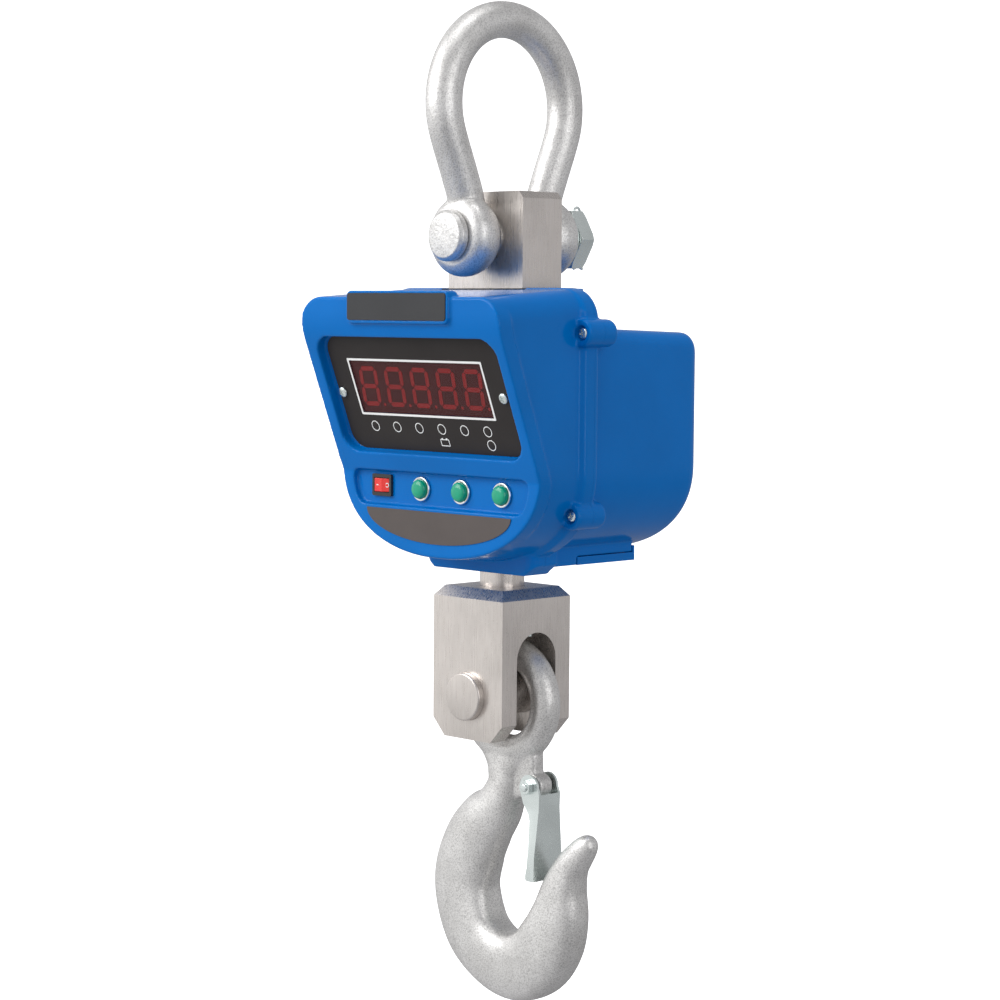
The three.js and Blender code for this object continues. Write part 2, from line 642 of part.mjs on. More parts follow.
function controlLabel() {
  const top = -162.8;
  const shape = new THREE.Shape();
  shape.moveTo(-75.5, top);
  shape.absellipse(0, top, 75.5, 23.5, Math.PI, 2 * Math.PI, false);
  shape.lineTo(-75.5, top);
  return named("control_label", slab(shape, FACE_LOW_Y - 0.7, FACE_LOW_Y - RUN, 12), "grey");
}

const ROCKER_Z = CONTROL_Z + 0.8;

function rockerSwitch() {
  const x = rockerX();
  const front = CONTROL_Y - 2.2;
  const housing = joined(
    slab(roundedRectangle(20.6, 16.2, 1, x, ROCKER_Z), front, CONTROL_Y - RUN),
    box(x - 8.9, x + 8.9, CONTROL_Y - 1, CONTROL_Y + 16, ROCKER_Z - 6.6, ROCKER_Z + 6.6),
  );
  const mouth = box(x - 8.2, x + 8.2, front - 3, CONTROL_Y + 6, ROCKER_Z - 5.4, ROCKER_Z + 5.4);
  return named("rocker_bezel", cut(housing, mouth), "black");
}

function rocker() {
  const x = rockerX();
  const pivotY = CONTROL_Y + 1.5;
  const shape = new THREE.Shape();
  shape.moveTo(-7.6, -3.2);
  shape.lineTo(0, -4.6);
  shape.lineTo(7.6, -3.2);
  shape.lineTo(6.8, 0.5);
  shape.lineTo(0, 2.5);
  shape.lineTo(-6.8, 0.5);
  const geometry = new THREE.ExtrudeGeometry(shape, { depth: 10, bevelEnabled: false });
  geometry.translate(0, 0, -5).rotateZ(THREE.MathUtils.degToRad(9));
  return named("power_rocker", solidOf(geometry.translate(x, pivotY, ROCKER_Z)), "red");
}

function buttonBezel(name, x) {
  const ring = cut(
    turned("y", x, 0, CONTROL_Z, [
      [CONTROL_Y - 2.2, 8.4], [CONTROL_Y - 1.4, 9.25], [CONTROL_Y - RUN, 9.25],
      [CONTROL_Y - RUN, 8], [CONTROL_Y + 20, 8],
    ], ROUND),
    rod("y", x, 0, CONTROL_Z, -90, CONTROL_Y + 14, 7.5),
  );
  return named(name, ring, "chrome");
}

function buttonCap(name, x) {
  const cap = turned("y", x, 0, CONTROL_Z, [
    [CONTROL_Y - 6.4, 3], [CONTROL_Y - 6, 5.4], [CONTROL_Y - 4.8, 6.8], [CONTROL_Y + 9, 7.15],
  ]);
  return named(name, cap, "green");
}

// ---- what the case holds ----
function electronics() {
  const group = new THREE.Group();
  const boardY = REAR_END - WALL - 9;
  const mainBoard = slab(roundedRectangle(130, 48, 2, 0, -66), boardY, boardY + 1.6);
  group.add(named("main_board", mainBoard, "board"));
  const battery = box(-41, 41, 41, 81, -192, -118);
  group.add(named("battery", battery, "black"));
  const cover = cut(
    joined(
      box(-50, 50, COVER_FRONT, FOOT_END + 2.3, FOOT_LOW, FOOT_LOW + COVER_T),
      ...[-1, 1].map((side) => box(
        Math.min(side * 41.5, side * 50), Math.max(side * 41.5, side * 50),
        FOOT_END + RUN, FOOT_END + 2.3, FOOT_LOW, TAB_SCREW_Z + 3,
      )),
    ),
    ...[-1, 1].map((side) => rod("y", side * TAB_SCREW_X, 0, TAB_SCREW_Z, 84, 95, 1.9, SMALL)),
  );
  group.add(named("battery_cover", cover, "blue"));
  for (const [name, x] of [["left_cover_screw", -TAB_SCREW_X], ["right_cover_screw", TAB_SCREW_X]]) {
    const seat = FOOT_END + 2.6;
    const steps = [[84.6, 1.5], [seat, 1.5], [seat, 2.7], [seat + 1.2, 2.4], [seat + 1.8, 1.4]];
    const screw = turned("y", x, 0, TAB_SCREW_Z, steps, SMALL);
    group.add(named(name, screw, "zinc"));
  }
  const socket = cut(
    joined(
      rod("y", -60, 0, -60, REAR_END - 1.7, REAR_END - 0.4, 8),
      rod("y", -60, 0, -60, REAR_END - 10, REAR_END - 1, 6),
    ),
    rod("y", -60, 0, -60, REAR_END - 8, REAR_END + 5, 4, SMALL),
  );
  group.add(named("charge_socket", socket, "black"));
  return group;
}

// ---- hook block ----
function hookBlock() {
  const group = new THREE.Group();
  const halfW = BLOCK_W / 2;
  const halfD = BLOCK_D / 2;
  const shape = new THREE.Shape();
  shape.moveTo(-halfW + 12.2, BLOCK_LOW);
  shape.lineTo(halfW - 12.2, BLOCK_LOW);
  shape.lineTo(halfW, BLOCK_LOW + 13);
  shape.lineTo(halfW, BLOCK_TOP - 7.4);
  shape.lineTo(halfW - 6, BLOCK_TOP);
  shape.lineTo(-halfW + 6, BLOCK_TOP);
  shape.lineTo(-halfW, BLOCK_TOP - 7.4);
  shape.lineTo(-halfW, BLOCK_LOW + 13);
  const edges = [-1, 1].map((side) => crossSlab([
    [side * (halfD + 1), BLOCK_TOP - 8.7],
    [side * (halfD + 1), BLOCK_TOP + 1.2],
    [side * (halfD - 7), BLOCK_TOP + 1.2],
  ], -60, 60));
  const slot = joined(
    rod("x", 0, 0, SLOT_TOP - SLOT, -60, 60, SLOT),
    box(-60, 60, -SLOT, SLOT, -560, SLOT_TOP - SLOT),
  );
  const block = cut(
    slab(shape, -halfD, halfD),
    ...edges,
    slot,
    rod("y", 0, 0, CLEVIS_Z, -60, 60, CLEVIS_R + 0.15),
    rod("z", 0, 0, 0, BLOCK_TOP - 28, BLOCK_TOP + 10, SHAFT_R + RUN),
    rod("z", 24, 4, 0, SLOT_TOP - 10, SLOT_TOP + 14, 3.3, SMALL),
  );
  group.add(named("hook_block", block, "steel"));

  const studTop = -313;
  const shaft = cut(
    turned("z", 0, 0, 0, [
      [BLOCK_TOP - 27, SHAFT_R], [POCKET_FLOOR - 0.5, SHAFT_R], [POCKET_FLOOR - 0.5, STUD_R], [studTop, STUD_R],
    ]),
    rod("x", 0, 0, -317.5, -40, 40, 2.3, SMALL),
  );
  group.add(named("swivel_shaft", shaft, "steel"));
  const nut = cut(
    plate(hexagon(40), POCKET_FLOOR + 11.3, -321),
    rod("z", 0, 0, 0, -360, -300, STUD_R + RUN),
  );
  group.add(named("swivel_nut", nut, "zinc"));
  group.add(named("nut_lock_pin", rod("x", 0, 0, -317.5, -19, 19, 1.95, SMALL), "zinc"));
  group.add(named("shaft_lock_pin", rod("z", 24, 4, 0, SLOT_TOP - 4, SLOT_TOP + 13, 3, SMALL), "zinc"));

  const front = -halfD - CLEVIS_OUT;
  const back = halfD + CLEVIS_OUT;
  const clipY = halfD + 1.2;
  const pin = turned("y", 0, 0, CLEVIS_Z, [
    [front, CLEVIS_R - 0.8], [front + 0.8, CLEVIS_R], [clipY, CLEVIS_R], [clipY, CLEVIS_R - 2],
    [clipY + 2.6, CLEVIS_R - 2], [clipY + 2.6, CLEVIS_R], [back - 0.8, CLEVIS_R], [back, CLEVIS_R - 0.8],
  ]);
  group.add(named("clevis_pin", pin, "steel"));
  const clip = cut(
    rod("y", 0, 0, CLEVIS_Z, clipY + RUN, clipY + 2.3, CLEVIS_R + 3),
    rod("y", 0, 0, CLEVIS_Z, 0, 60, CLEVIS_R - 1.7),
    box(-5, 5, 0, 60, CLEVIS_Z - 30, CLEVIS_Z),
  );
  group.add(named("clevis_pin_clip", clip, "zinc"));
  return group;
}

// ---- hook and latch ----
const HOOK_LINE = [
  [2, -516.5, 31, 9],
  [2, -524, 29, 10.3],
  [2, -531, 25.5, 11.5],
  [1.8, -537, 20, 12.2],
  [1.5, -543.5, 16.5, 13],
  [1.2, -553, 15.8, 14],
  [-7, -571, 20, 16.5],
  [-21, -586, 25, 18],
  [-33.5, -606, 27.5, 19],
  [-41.2, -634.8, 27.3, 19],
  [-31.5, -667, 26.4, 19],
  [-9.5, -685, 25, 19],
  [14, -689, 26, 19],
  [35.6, -680.5, 26.5, 19],
  [50, -663, 25.8, 18.5],
  [57.8, -643.6, 22, 17.3],
  [62.2, -621.8, 16.2, 15],
  [68, -606.5, 13, 12.5],
  [75.5, -596.5, 11.4, 10.8],
  [83, -588.5, 9.4, 9],
  [88, -584.5, 6.6, 6.4],
  [90.3, -583, 3, 3],
];

function hookBody() {
  const steps = 40;
  const eye = new THREE.TorusGeometry(EYE_R, EYE_BAR, 12, 34);
  eye.rotateX(Math.PI / 2).translate(EYE_X, HOOK_Y, EYE_Z);
  const lug = slab(
    new THREE.Shape().absellipse(LATCH_X, LATCH_Z, 8.5, 8.5, 0, 2 * Math.PI), HOOK_Y - 6.5, HOOK_Y + 6.5, 12);
  const rootOutline = [
    [5, -524], [28, -520], [34.5, -526], [34.8, LATCH_Z + 6], [LATCH_X, LATCH_Z - 8], [8, LATCH_Z - 12],
  ].map(([x, z]) => new THREE.Vector2(x, z));
  const lugRoot = slab(new THREE.Shape(rootOutline), HOOK_Y - 6.5, HOOK_Y + 6.5);
  const bore = rod("y", LATCH_X, 0, LATCH_Z, -30, 50, 3.4, SMALL);
  return named("hook", cut(joined(forgedBar(HOOK_LINE, HOOK_Y, steps), solidOf(eye), lug, lugRoot), bore), "galvanised");
}

const LATCH_LOW = -619;
const LATCH_SHEET = 2.2;

function latch() {
  const webTop = -560;
  const outline = new THREE.Shape();
  outline.absarc(LATCH_X, LATCH_Z, 9, 0, Math.PI, false);
  outline.quadraticCurveTo(LATCH_X - 8, LATCH_Z - 12, LATCH_X + 2, -574);
  outline.lineTo(LATCH_X + 3, -598);
  outline.lineTo(LATCH_X + 0.5, LATCH_LOW + 2);
  outline.lineTo(LATCH_X + 2, LATCH_LOW);
  outline.lineTo(LATCH_X + 9.1, LATCH_LOW);
  outline.lineTo(LATCH_X + 11.1, webTop);
  outline.lineTo(LATCH_X + 9, LATCH_Z);
  const halfTop = LATCH_IN + LATCH_SHEET;
  const halfLow = 14.6;
  const wide = slab(outline, HOOK_Y - 20, HOOK_Y + 20, 10);
  const taper = (inset) => {
    const t = halfTop - inset;
    const l = halfLow - inset;
    return crossSlab([
      [HOOK_Y - t, -500], [HOOK_Y - t, -566], [HOOK_Y - l, -600], [HOOK_Y - l, -640],
      [HOOK_Y + l, -640], [HOOK_Y + l, -600], [HOOK_Y + t, -566], [HOOK_Y + t, -500],
    ], -20, 80);
  };
  const hollow = taper(LATCH_SHEET).intersect(joined(
    box(-20, 80, -40, 60, webTop, -500),
    crossSlab([[-40, -640], [-40, webTop + 1], [60, webTop + 1], [60, -640]], -20, LATCH_X + 8.9 - LATCH_SHEET),
  ));
  const bore = rod("y", LATCH_X, 0, LATCH_Z, -30, 50, 3.4, SMALL);
  return named("latch", cut(wide.intersect(taper(0)), hollow, bore), "zinc");
}

function latchFittings() {
  const near = HOOK_Y - LATCH_IN - LATCH_SHEET;
  const far = HOOK_Y + LATCH_IN + LATCH_SHEET;
  const bolt = turned("y", LATCH_X, 0, LATCH_Z, [
    [near - 6, 2.6], [near - 5.5, 3], [far + RUN, 3], [far + RUN, 5.4], [far + 3.6, 5.4],
  ], SMALL);
  const nut = cut(
    slab(hexagon(9.6), near - 4.6, near - RUN).translate([LATCH_X, 0, LATCH_Z]),
    rod("y", LATCH_X, 0, LATCH_Z, -30, 50, 3.25, SMALL),
  );
  const coil = cut(
    rod("y", LATCH_X, 0, LATCH_Z, HOOK_Y + 6.8, HOOK_Y + LATCH_IN - RUN, 6, SMALL),
    rod("y", LATCH_X, 0, LATCH_Z, -30, 50, 3.6, SMALL),
  );
  return [named("latch_bolt", bolt, "zinc"), named("latch_nut", nut, "zinc"), named("latch_spring", coil, "zinc")];
}

// ---- assembly ----
const craneScale = new THREE.Group();
craneScale.add(shackle(), loadCell());

const caseGroup = new THREE.Group();
caseGroup.position.z = CASE_TOP;
caseGroup.add(frontCase(), rearCase(), caseGasket("right_gasket", 1), caseGasket("left_gasket", -1));
caseGroup.add(displayPanel(), capacityPlate(), controlLabel(), rockerSwitch(), rocker(), electronics());
const lugNames = ["upper_right", "upper_left", "lower_right", "lower_left"];
eachLug((lug, side) => ({ lug, side })).forEach(({ lug, side }, i) => {
  caseGroup.add(caseScrew(`${lugNames[i]}_case_screw`, lug, side));
});
["units", "hold", "zero"].forEach((name, i) => {
  caseGroup.add(buttonBezel(`${name}_button_bezel`, buttonXs()[i]), buttonCap(`${name}_button`, buttonXs()[i]));
});
craneScale.add(caseGroup);

const sealGroup = new THREE.Group();
sealGroup.position.z = CASE_TOP;
sealGroup.add(...seals());
craneScale.add(sealGroup, hookBlock(), hookBody(), latch(), ...latchFittings());

export default craneScale;
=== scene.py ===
import math

import bmesh
import bpy
from mathutils import Matrix, Vector


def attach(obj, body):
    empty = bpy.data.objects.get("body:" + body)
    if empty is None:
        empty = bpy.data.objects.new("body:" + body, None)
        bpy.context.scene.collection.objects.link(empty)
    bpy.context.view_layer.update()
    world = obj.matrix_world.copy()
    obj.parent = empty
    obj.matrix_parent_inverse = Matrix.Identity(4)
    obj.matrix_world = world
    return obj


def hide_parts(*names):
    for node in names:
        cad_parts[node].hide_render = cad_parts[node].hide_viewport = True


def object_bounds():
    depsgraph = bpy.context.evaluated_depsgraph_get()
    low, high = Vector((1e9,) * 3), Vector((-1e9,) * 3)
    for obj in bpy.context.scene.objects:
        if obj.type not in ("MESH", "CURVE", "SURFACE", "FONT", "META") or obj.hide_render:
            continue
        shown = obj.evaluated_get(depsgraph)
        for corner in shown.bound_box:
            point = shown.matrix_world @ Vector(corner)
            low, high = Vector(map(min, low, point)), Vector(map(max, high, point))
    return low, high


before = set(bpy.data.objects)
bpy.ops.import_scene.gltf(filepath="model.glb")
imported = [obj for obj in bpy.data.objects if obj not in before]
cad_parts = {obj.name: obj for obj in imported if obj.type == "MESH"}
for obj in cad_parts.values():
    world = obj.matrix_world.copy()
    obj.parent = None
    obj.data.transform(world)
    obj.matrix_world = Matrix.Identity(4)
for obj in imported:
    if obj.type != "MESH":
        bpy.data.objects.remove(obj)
cad_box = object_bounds()
MM = 0.001

# ---- driving dimensions, as in the CAD ----
CASE_TOP = -182.4  # top of the case flange; the case's own heights count from here
TILT = math.radians(21.3)  # the display leans to face the floor
PANEL = Vector((0, -83.17, -77.57 + CASE_TOP))  # centre of the display label
RIM_W, BODY_W, FLANGE_W, REAR_W = 103.5, 100, 104, 96  # half widths of the case
SHOULDER = -129  # below it the shield outline rounds off
FACE_TOP_Y, FACE_LOW_Y = -109.1, -67
FACE_BREAK_HIGH, FACE_BREAK_LOW = -29, -136.9
PARTING, REAR_START = -13.8, -12.6
WALL = 3.5
REAR_END = 113.5
FLANGE_CORNER = 20
RIM_CORNER = 19
FOOT_END = 88.7
TAB_SCREW_X, TAB_SCREW_Z = 45.8, -195.4
LUGS = ((104, -32), (94.6, -162))
LUG_R = 10
LUG_FRONT, LUG_BACK = -28, 1.2
SCREW_SEAT = LUG_FRONT + 4
BELLY_W, BELLY_D, BELLY_LOW = 57, 26, -208.5
FOOT_LOW, COVER_FRONT, COVER_T = -203.5, 28.5, 6
CONTROL_Y, CONTROL_Z = -62.5, -147
CONTROL_PITCH = 41.7
BUTTONS = [step * CONTROL_PITCH for step in (-0.5, 0.5, 1.5)]
ROCKER_X = -1.5 * CONTROL_PITCH
PLATE_X, PLATE_Z = 3, -14.4 + CASE_TOP
WINDOW_W, WINDOW_H, WINDOW_V = 140.3, 44.5, 5
LABEL_W, LABEL_H, LABEL_SHIFT = 181, 88.7, 1.8
DIGIT_PITCH = 27.1
BAR_R, BOW_R = 13.5, 62.8
PIN_Z, PIN_R = -145.4, 16
COTTER_Y = 77
EAR_IN, EAR_OUT = 23.4, 54
SHAFT_R = 16.6
BLOCK_TOP, BLOCK_LOW, BLOCK_W, BLOCK_D = -402.7, -514.7, 72.5, 71
SLOT, SLOT_TOP = 20.3, -435
CLEVIS_Z, CLEVIS_R, CLEVIS_OUT = -482.6, 17.7, 5.7
HOOK_Y = 6
EYE_X, EYE_Z, EYE_R, EYE_BAR = 3, -489.3, 37.1, 11.2
LATCH_X, LATCH_Z, LATCH_LOW, LATCH_IN = 34.3, -549.5, -619, 9
CELL_W, CELL_D = 41, 22.5  # half sizes of the opening for the load cell
NECK_W, NECK_D = 43, 24.5  # and of the wider opening in the top of the case
SHAFT_BORE = 22.5
LABEL_SCREW_X = 84
LAMP_PITCH, LAMP_V = 23.5, -26.1
LAMPS = [(-59.2 + LAMP_PITCH * i, LAMP_V) for i in range(6)] + [(58.5, -36.6)]
LAMP_R = 3.2
FINE = 96  # facets round a turned piece


# ---- mesh building ----
def made(name, verts, faces):
    mesh = bpy.data.meshes.new(name)
    mesh.from_pydata([Vector(v) * MM for v in verts], [], faces)
    bm = bmesh.new()
    bm.from_mesh(mesh)
    bmesh.ops.remove_doubles(bm, verts=bm.verts, dist=1e-6)
    bmesh.ops.recalc_face_normals(bm, faces=bm.faces)
    bm.to_mesh(mesh)
    bm.free()
    obj = bpy.data.objects.new(name, mesh)
    bpy.context.collection.objects.link(obj)
    return obj


def shade(obj, angle=35):
    bm = bmesh.new()
    bm.from_mesh(obj.data)
    for face in bm.faces:
        face.smooth = True
    for edge in bm.edges:
        edge.smooth = len(edge.link_faces) == 2 and edge.calc_face_angle(0) < math.radians(angle)
    bm.to_mesh(obj.data)
    bm.free()
    return obj


def apply_modifiers(obj):
    graph = bpy.context.evaluated_depsgraph_get()
    mesh = bpy.data.meshes.new_from_object(obj.evaluated_get(graph))
    obj.modifiers.clear()
    obj.data = mesh
    return obj


def boolean(obj, operation, tools):
    for tool in tools:
        step = obj.modifiers.new("solid", "BOOLEAN")
        step.operation = operation
        step.solver = "MANIFOLD"
        step.object = tool
        apply_modifiers(obj)
        bpy.data.objects.remove(tool)
    return obj


def cut(obj, *tools):
    return boolean(obj, "DIFFERENCE", tools)


def fused(obj, *tools):
    return boolean(obj, "UNION", tools)


def common(obj, *tools):
    return boolean(obj, "INTERSECT", tools)


def bevelled(obj, width, segments=3, angle=30):
    step = obj.modifiers.new("edges", "BEVEL")
    step.width = width * MM
    step.segments = segments
    step.limit_method = "ANGLE"
    step.angle_limit = math.radians(angle)
    apply_modifiers(obj)
    shade(obj, 40)
    flat = obj.modifiers.new("flat", "WEIGHTED_NORMAL")
    flat.keep_sharp = True
    flat.weight = 100
    return apply_modifiers(obj)


def cast(obj, voxel, rounds, keep=1.0):
    """One skin over overlapping solids, with the soft edges of a casting or forging."""
    step = obj.modifiers.new("skin", "REMESH")
    step.mode = "VOXEL"
    step.voxel_size = voxel * MM
    soft = obj.modifiers.new("soft", "SMOOTH")
    soft.factor = 0.5
    soft.iterations = rounds
    if keep < 1:
        thin = obj.modifiers.new("thin", "DECIMATE")
        thin.ratio = keep
    apply_modifiers(obj)
    return shade(obj, 60)


def box(x0, x1, y0, y1, z0, z1):
    verts = [(x, y, z) for x in (x0, x1) for y in (y0, y1) for z in (z0, z1)]
    faces = [(0, 1, 3, 2), (4, 6, 7, 5), (0, 4, 5, 1), (2, 3, 7, 6), (0, 2, 6, 4), (1, 5, 7, 3)]
    return made("box", verts, faces)


def circle(x, y, radius, count):
    angles = [2 * math.pi * i / count for i in range(count)]
    return [(x + radius * math.cos(t), y + radius * math.sin(t)) for t in angles]


def loft(name, rings):
    count = len(rings[0])
    verts = [p for ring in rings for p in ring]
    faces = []
    for r in range(len(rings) - 1):
        for i in range(count):
            j = (i + 1) % count
            faces.append((r * count + i, r * count + j, (r + 1) * count + j, (r + 1) * count + i))
    for start in (0, (len(rings) - 1) * count):
        middle = sum((Vector(p) for p in verts[start:start + count]), Vector()) / count
        verts.append(middle)
        faces += [(len(verts) - 1, start + i, start + (i + 1) % count) for i in range(count)]
    return made(name, verts, faces)


def lathe(name, axis, centre, steps, segments=FINE):
    """A turned piece: steps are (position along the axis, radius) from one end to the other."""
    turn = {
        "x": lambda a, u, v: (a, u, v),
        "y": lambda a, u, v: (u, a, v),
        "z": lambda a, u, v: (u, v, a),
    }[axis]
    rings = []
    for along, radius in steps:
        ring = [turn(along, u, v) for u, v in circle(0, 0, radius, segments)]
        rings.append([Vector(p) + Vector(centre) for p in ring])
    return loft(name, rings)


def rod(axis, centre, start, end, radius, segments=FINE):
    return lathe("rod", axis, centre, [(start, radius), (end, radius)], segments)


def rounded_steps(steps, radius=0.8, count=3):
    """The same profile with its outer corners rounded off."""
    points = [(steps[0][0], 0.0)] + list(steps) + [(steps[-1][0], 0.0)]
    out = []
    for before, here, after in zip(points, points[1:], points[2:]):
        to_before = Vector(before) - Vector(here)
        to_after = Vector(after) - Vector(here)
        size = min(radius, to_before.length * 0.45, to_after.length * 0.45)
        start = Vector(here) + to_before.normalized() * size
        end = Vector(here) + to_after.normalized() * size
        for i in range(count + 1):
            t = i / count
            mixed = start * (1 - t) ** 2 + Vector(here) * 2 * t * (1 - t) + end * t**2
            out.append((mixed[0], mixed[1]))
    return out


def prism(name, outline, low, high, plane="xz"):
    """A flat outline made solid: in X and Z from one Y to another, Y and Z along X, or X and Y along Z."""
    place = {
        "xz": lambda a, b, t: (a, t, b),
        "yz": lambda a, b, t: (t, a, b),
        "xy": lambda a, b, t: (a, b, t),
    }[plane]
    return loft(name, [[place(a, b, t) for a, b in outline] for t in (low, high)])


def rounded_rectangle(width, height, radius, cx=0.0, cy=0.0, count=10):
    points = []
    for sx, sy, start in ((1, 1, 0), (-1, 1, 90), (-1, -1, 180), (1, -1, 270)):
        for i in range(count + 1):
            t = math.radians(start + 90 * i / count)
            x = cx + sx * (width / 2 - radius) + radius * math.cos(t)
            points.append((x, cy + sy * (height / 2 - radius) + radius * math.sin(t)))
    return points


def hexagon(across_flats, first=30):
    corner = across_flats / math.sqrt(3)
    turns = [math.radians(first + 60 * i) for i in range(6)]
    return [(corner * math.cos(t), corner * math.sin(t)) for t in turns]


def spline(points, count):
    """Points evenly spread along a smooth curve through the given points of any size."""
    ends = [2 * points[0] - points[1], *points, 2 * points[-1] - points[-2]]
    out = []
    last = len(points) - 1
    for s in range(count + 1):
        at = s / count * last
        k = min(int(at), last - 1)
        t = at - k
        p0, p1, p2, p3 = ends[k:k + 4]
        out.append(0.5 * (2 * p1 + (p2 - p0) * t + (2 * p0 - 5 * p1 + 4 * p2 - p3) * t * t
                          + (3 * p1 - p0 - 3 * p2 + p3) * t**3))
    return out


def bar(name, path, normal, radius, sides=24):
    """A round bar along a path that lies in the plane of the given normal."""
    rings = []
    for i, here in enumerate(path):
        tangent = (path[min(i + 1, len(path) - 1)] - path[max(i - 1, 0)]).normalized()
        side = tangent.cross(normal).normalized()
        ring = []
        for s in range(sides):
            t = 2 * math.pi * s / sides
            ring.append(here + radius * (side * math.cos(t) + normal * math.sin(t)))
        rings.append(ring)
    return loft(name, rings)


def moved(obj, matrix):
    scaled = matrix.copy()
    scaled.translation *= MM
    obj.data.transform(scaled)
    return obj


def joined(name, *objs):
    bm = bmesh.new()
    for obj in objs:
        bm.from_mesh(obj.data)
        bpy.data.objects.remove(obj)
    mesh = bpy.data.meshes.new(name)
    bm.to_mesh(mesh)
    bm.free()
    whole = bpy.data.objects.new(name, mesh)
    bpy.context.collection.objects.link(whole)
    return whole


# ---- materials ----
def add_node(tree, kind, **values):
    node = tree.nodes.new(kind)
    for key, value in values.items():
        setattr(node, key, value)
    return node


def shader_of(name):
    material = bpy.data.materials.new(name)
    material.use_nodes = True
    tree = material.node_tree
    return material, tree, tree.nodes["Principled BSDF"]


def noise(tree, scale, detail=4.0, stretch=(1, 1, 1), roughness=0.55):
    where = add_node(tree, "ShaderNodeTexCoord")
    mapping = add_node(tree, "ShaderNodeMapping")
    mapping.inputs["Scale"].default_value = stretch
    tree.links.new(where.outputs["Object"], mapping.inputs["Vector"])
    texture = add_node(tree, "ShaderNodeTexNoise")
    texture.inputs["Scale"].default_value = scale
    texture.inputs["Detail"].default_value = detail
    texture.inputs["Roughness"].default_value = roughness
    tree.links.new(mapping.outputs["Vector"], texture.inputs["Vector"])
    return texture.outputs["Fac"]


def ramp(tree, source, stops):
    node = add_node(tree, "ShaderNodeValToRGB")
    elements = node.color_ramp.elements
    elements[0].position, elements[0].color = stops[0][0], (*stops[0][1], 1)
    elements[1].position, elements[1].color = stops[-1][0], (*stops[-1][1], 1)
    for position, colour in stops[1:-1]:
        elements.new(position).color = (*colour, 1)
    tree.links.new(source, node.inputs["Fac"])
    return node.outputs["Color"]


def spread(tree, source, low, high, start=0.3, end=0.7):
    node = add_node(tree, "ShaderNodeMapRange")
    for key, value in (("From Min", start), ("From Max", end), ("To Min", low), ("To Max", high)):
        node.inputs[key].default_value = value
    tree.links.new(source, node.inputs["Value"])
    return node.outputs["Result"]


def bump(tree, shader, source, strength, distance):
    node = add_node(tree, "ShaderNodeBump")
    node.inputs["Strength"].default_value = strength
    node.inputs["Distance"].default_value = distance * MM
    tree.links.new(source, node.inputs["Height"])
    tree.links.new(node.outputs["Normal"], shader.inputs["Normal"])
    return node


def multiplied(tree, a, b):
    node = add_node(tree, "ShaderNodeMix", data_type="RGBA", blend_type="MULTIPLY")
    node.inputs["Factor"].default_value = 1.0
    for socket, value in ((node.inputs["A"], a), (node.inputs["B"], b)):
        tree.links.new(value, socket)
    return node.outputs["Result"]


def shades(colour, amount):
    dark = tuple(c * (1 - amount) for c in colour)
    light = tuple(min(1, c * (1 + amount)) for c in colour)
    return dark, light


def finish_material(name, colour, roughness, metallic, tone, tone_scale, grain,
                    relief=0.05, gloss_spread=0.06, coat=0.0, specular=0.5):
    """A surface with slow changes of tone, uneven gloss and a fine grain."""
    material, tree, shader = shader_of(name)
    slow = noise(tree, tone_scale)
    fine = noise(tree, grain, 3.0)
    dark, light = shades(colour, tone)
    base = ramp(tree, slow, [(0.35, dark), (0.65, light)])
    tree.links.new(base, shader.inputs["Base Color"])
    uneven = spread(tree, fine, roughness - gloss_spread, roughness + gloss_spread)
    tree.links.new(uneven, shader.inputs["Roughness"])
    bump(tree, shader, fine, relief, 0.05)
    shader.inputs["Metallic"].default_value = metallic
    shader.inputs["Coat Weight"].default_value = coat
    shader.inputs["Coat Roughness"].default_value = 0.08
    shader.inputs["Specular IOR Level"].default_value = specular
    return material


def two_bumps(tree, shader, broad, fine, broad_height, fine_height):
    lumps = bump(tree, shader, broad, 0.5, broad_height)
    grain = bump(tree, shader, fine, 0.5, fine_height)
    tree.links.new(lumps.outputs["Normal"], grain.inputs["Normal"])


def galvanised(name):
    """Hot-dip zinc over a forging: broad cloudy tone, fine speckle, and a sandy skin."""
    material, tree, shader = shader_of(name)
    cloud = noise(tree, 30, 5)
    speckle = noise(tree, 1000, 2, roughness=0.7)
    lumps = noise(tree, 70, 3)
    sand = noise(tree, 650, 4, roughness=0.6)
    base = ramp(tree, cloud, [(0.3, (0.66, 0.65, 0.635)), (0.5, (0.76, 0.75, 0.735)),
                              (0.72, (0.85, 0.84, 0.825))])
    flecks = ramp(tree, speckle, [(0.34, (0.62, 0.62, 0.62)), (0.56, (1.0, 1.0, 1.0))])
    tree.links.new(multiplied(tree, base, flecks), shader.inputs["Base Color"])
    tree.links.new(spread(tree, sand, 0.30, 0.52), shader.inputs["Roughness"])
    two_bumps(tree, shader, lumps, sand, 0.8, 0.4)
    shader.inputs["Metallic"].default_value = 0.8
    return material


def machined(name, colour, roughness):
    """Milled steel with an upright grain and faint warm stains."""
    material, tree, shader = shader_of(name)
    stain = noise(tree, 18, 4)
    lines = noise(tree, 900, 5, (1.0, 1.0, 0.05), 0.6)
    dark, light = shades(colour, 0.11)
    base = ramp(tree, stain, [(0.3, dark), (0.7, light)])
    streaks = ramp(tree, lines, [(0.30, (0.88, 0.875, 0.87)), (0.70, (1.0, 1.0, 1.0))])
    tree.links.new(multiplied(tree, base, streaks), shader.inputs["Base Color"])
    tree.links.new(spread(tree, lines, roughness - 0.08, roughness + 0.1), shader.inputs["Roughness"])
    bump(tree, shader, lines, 0.22, 0.06)
    shader.inputs["Metallic"].default_value = 0.92
    return material


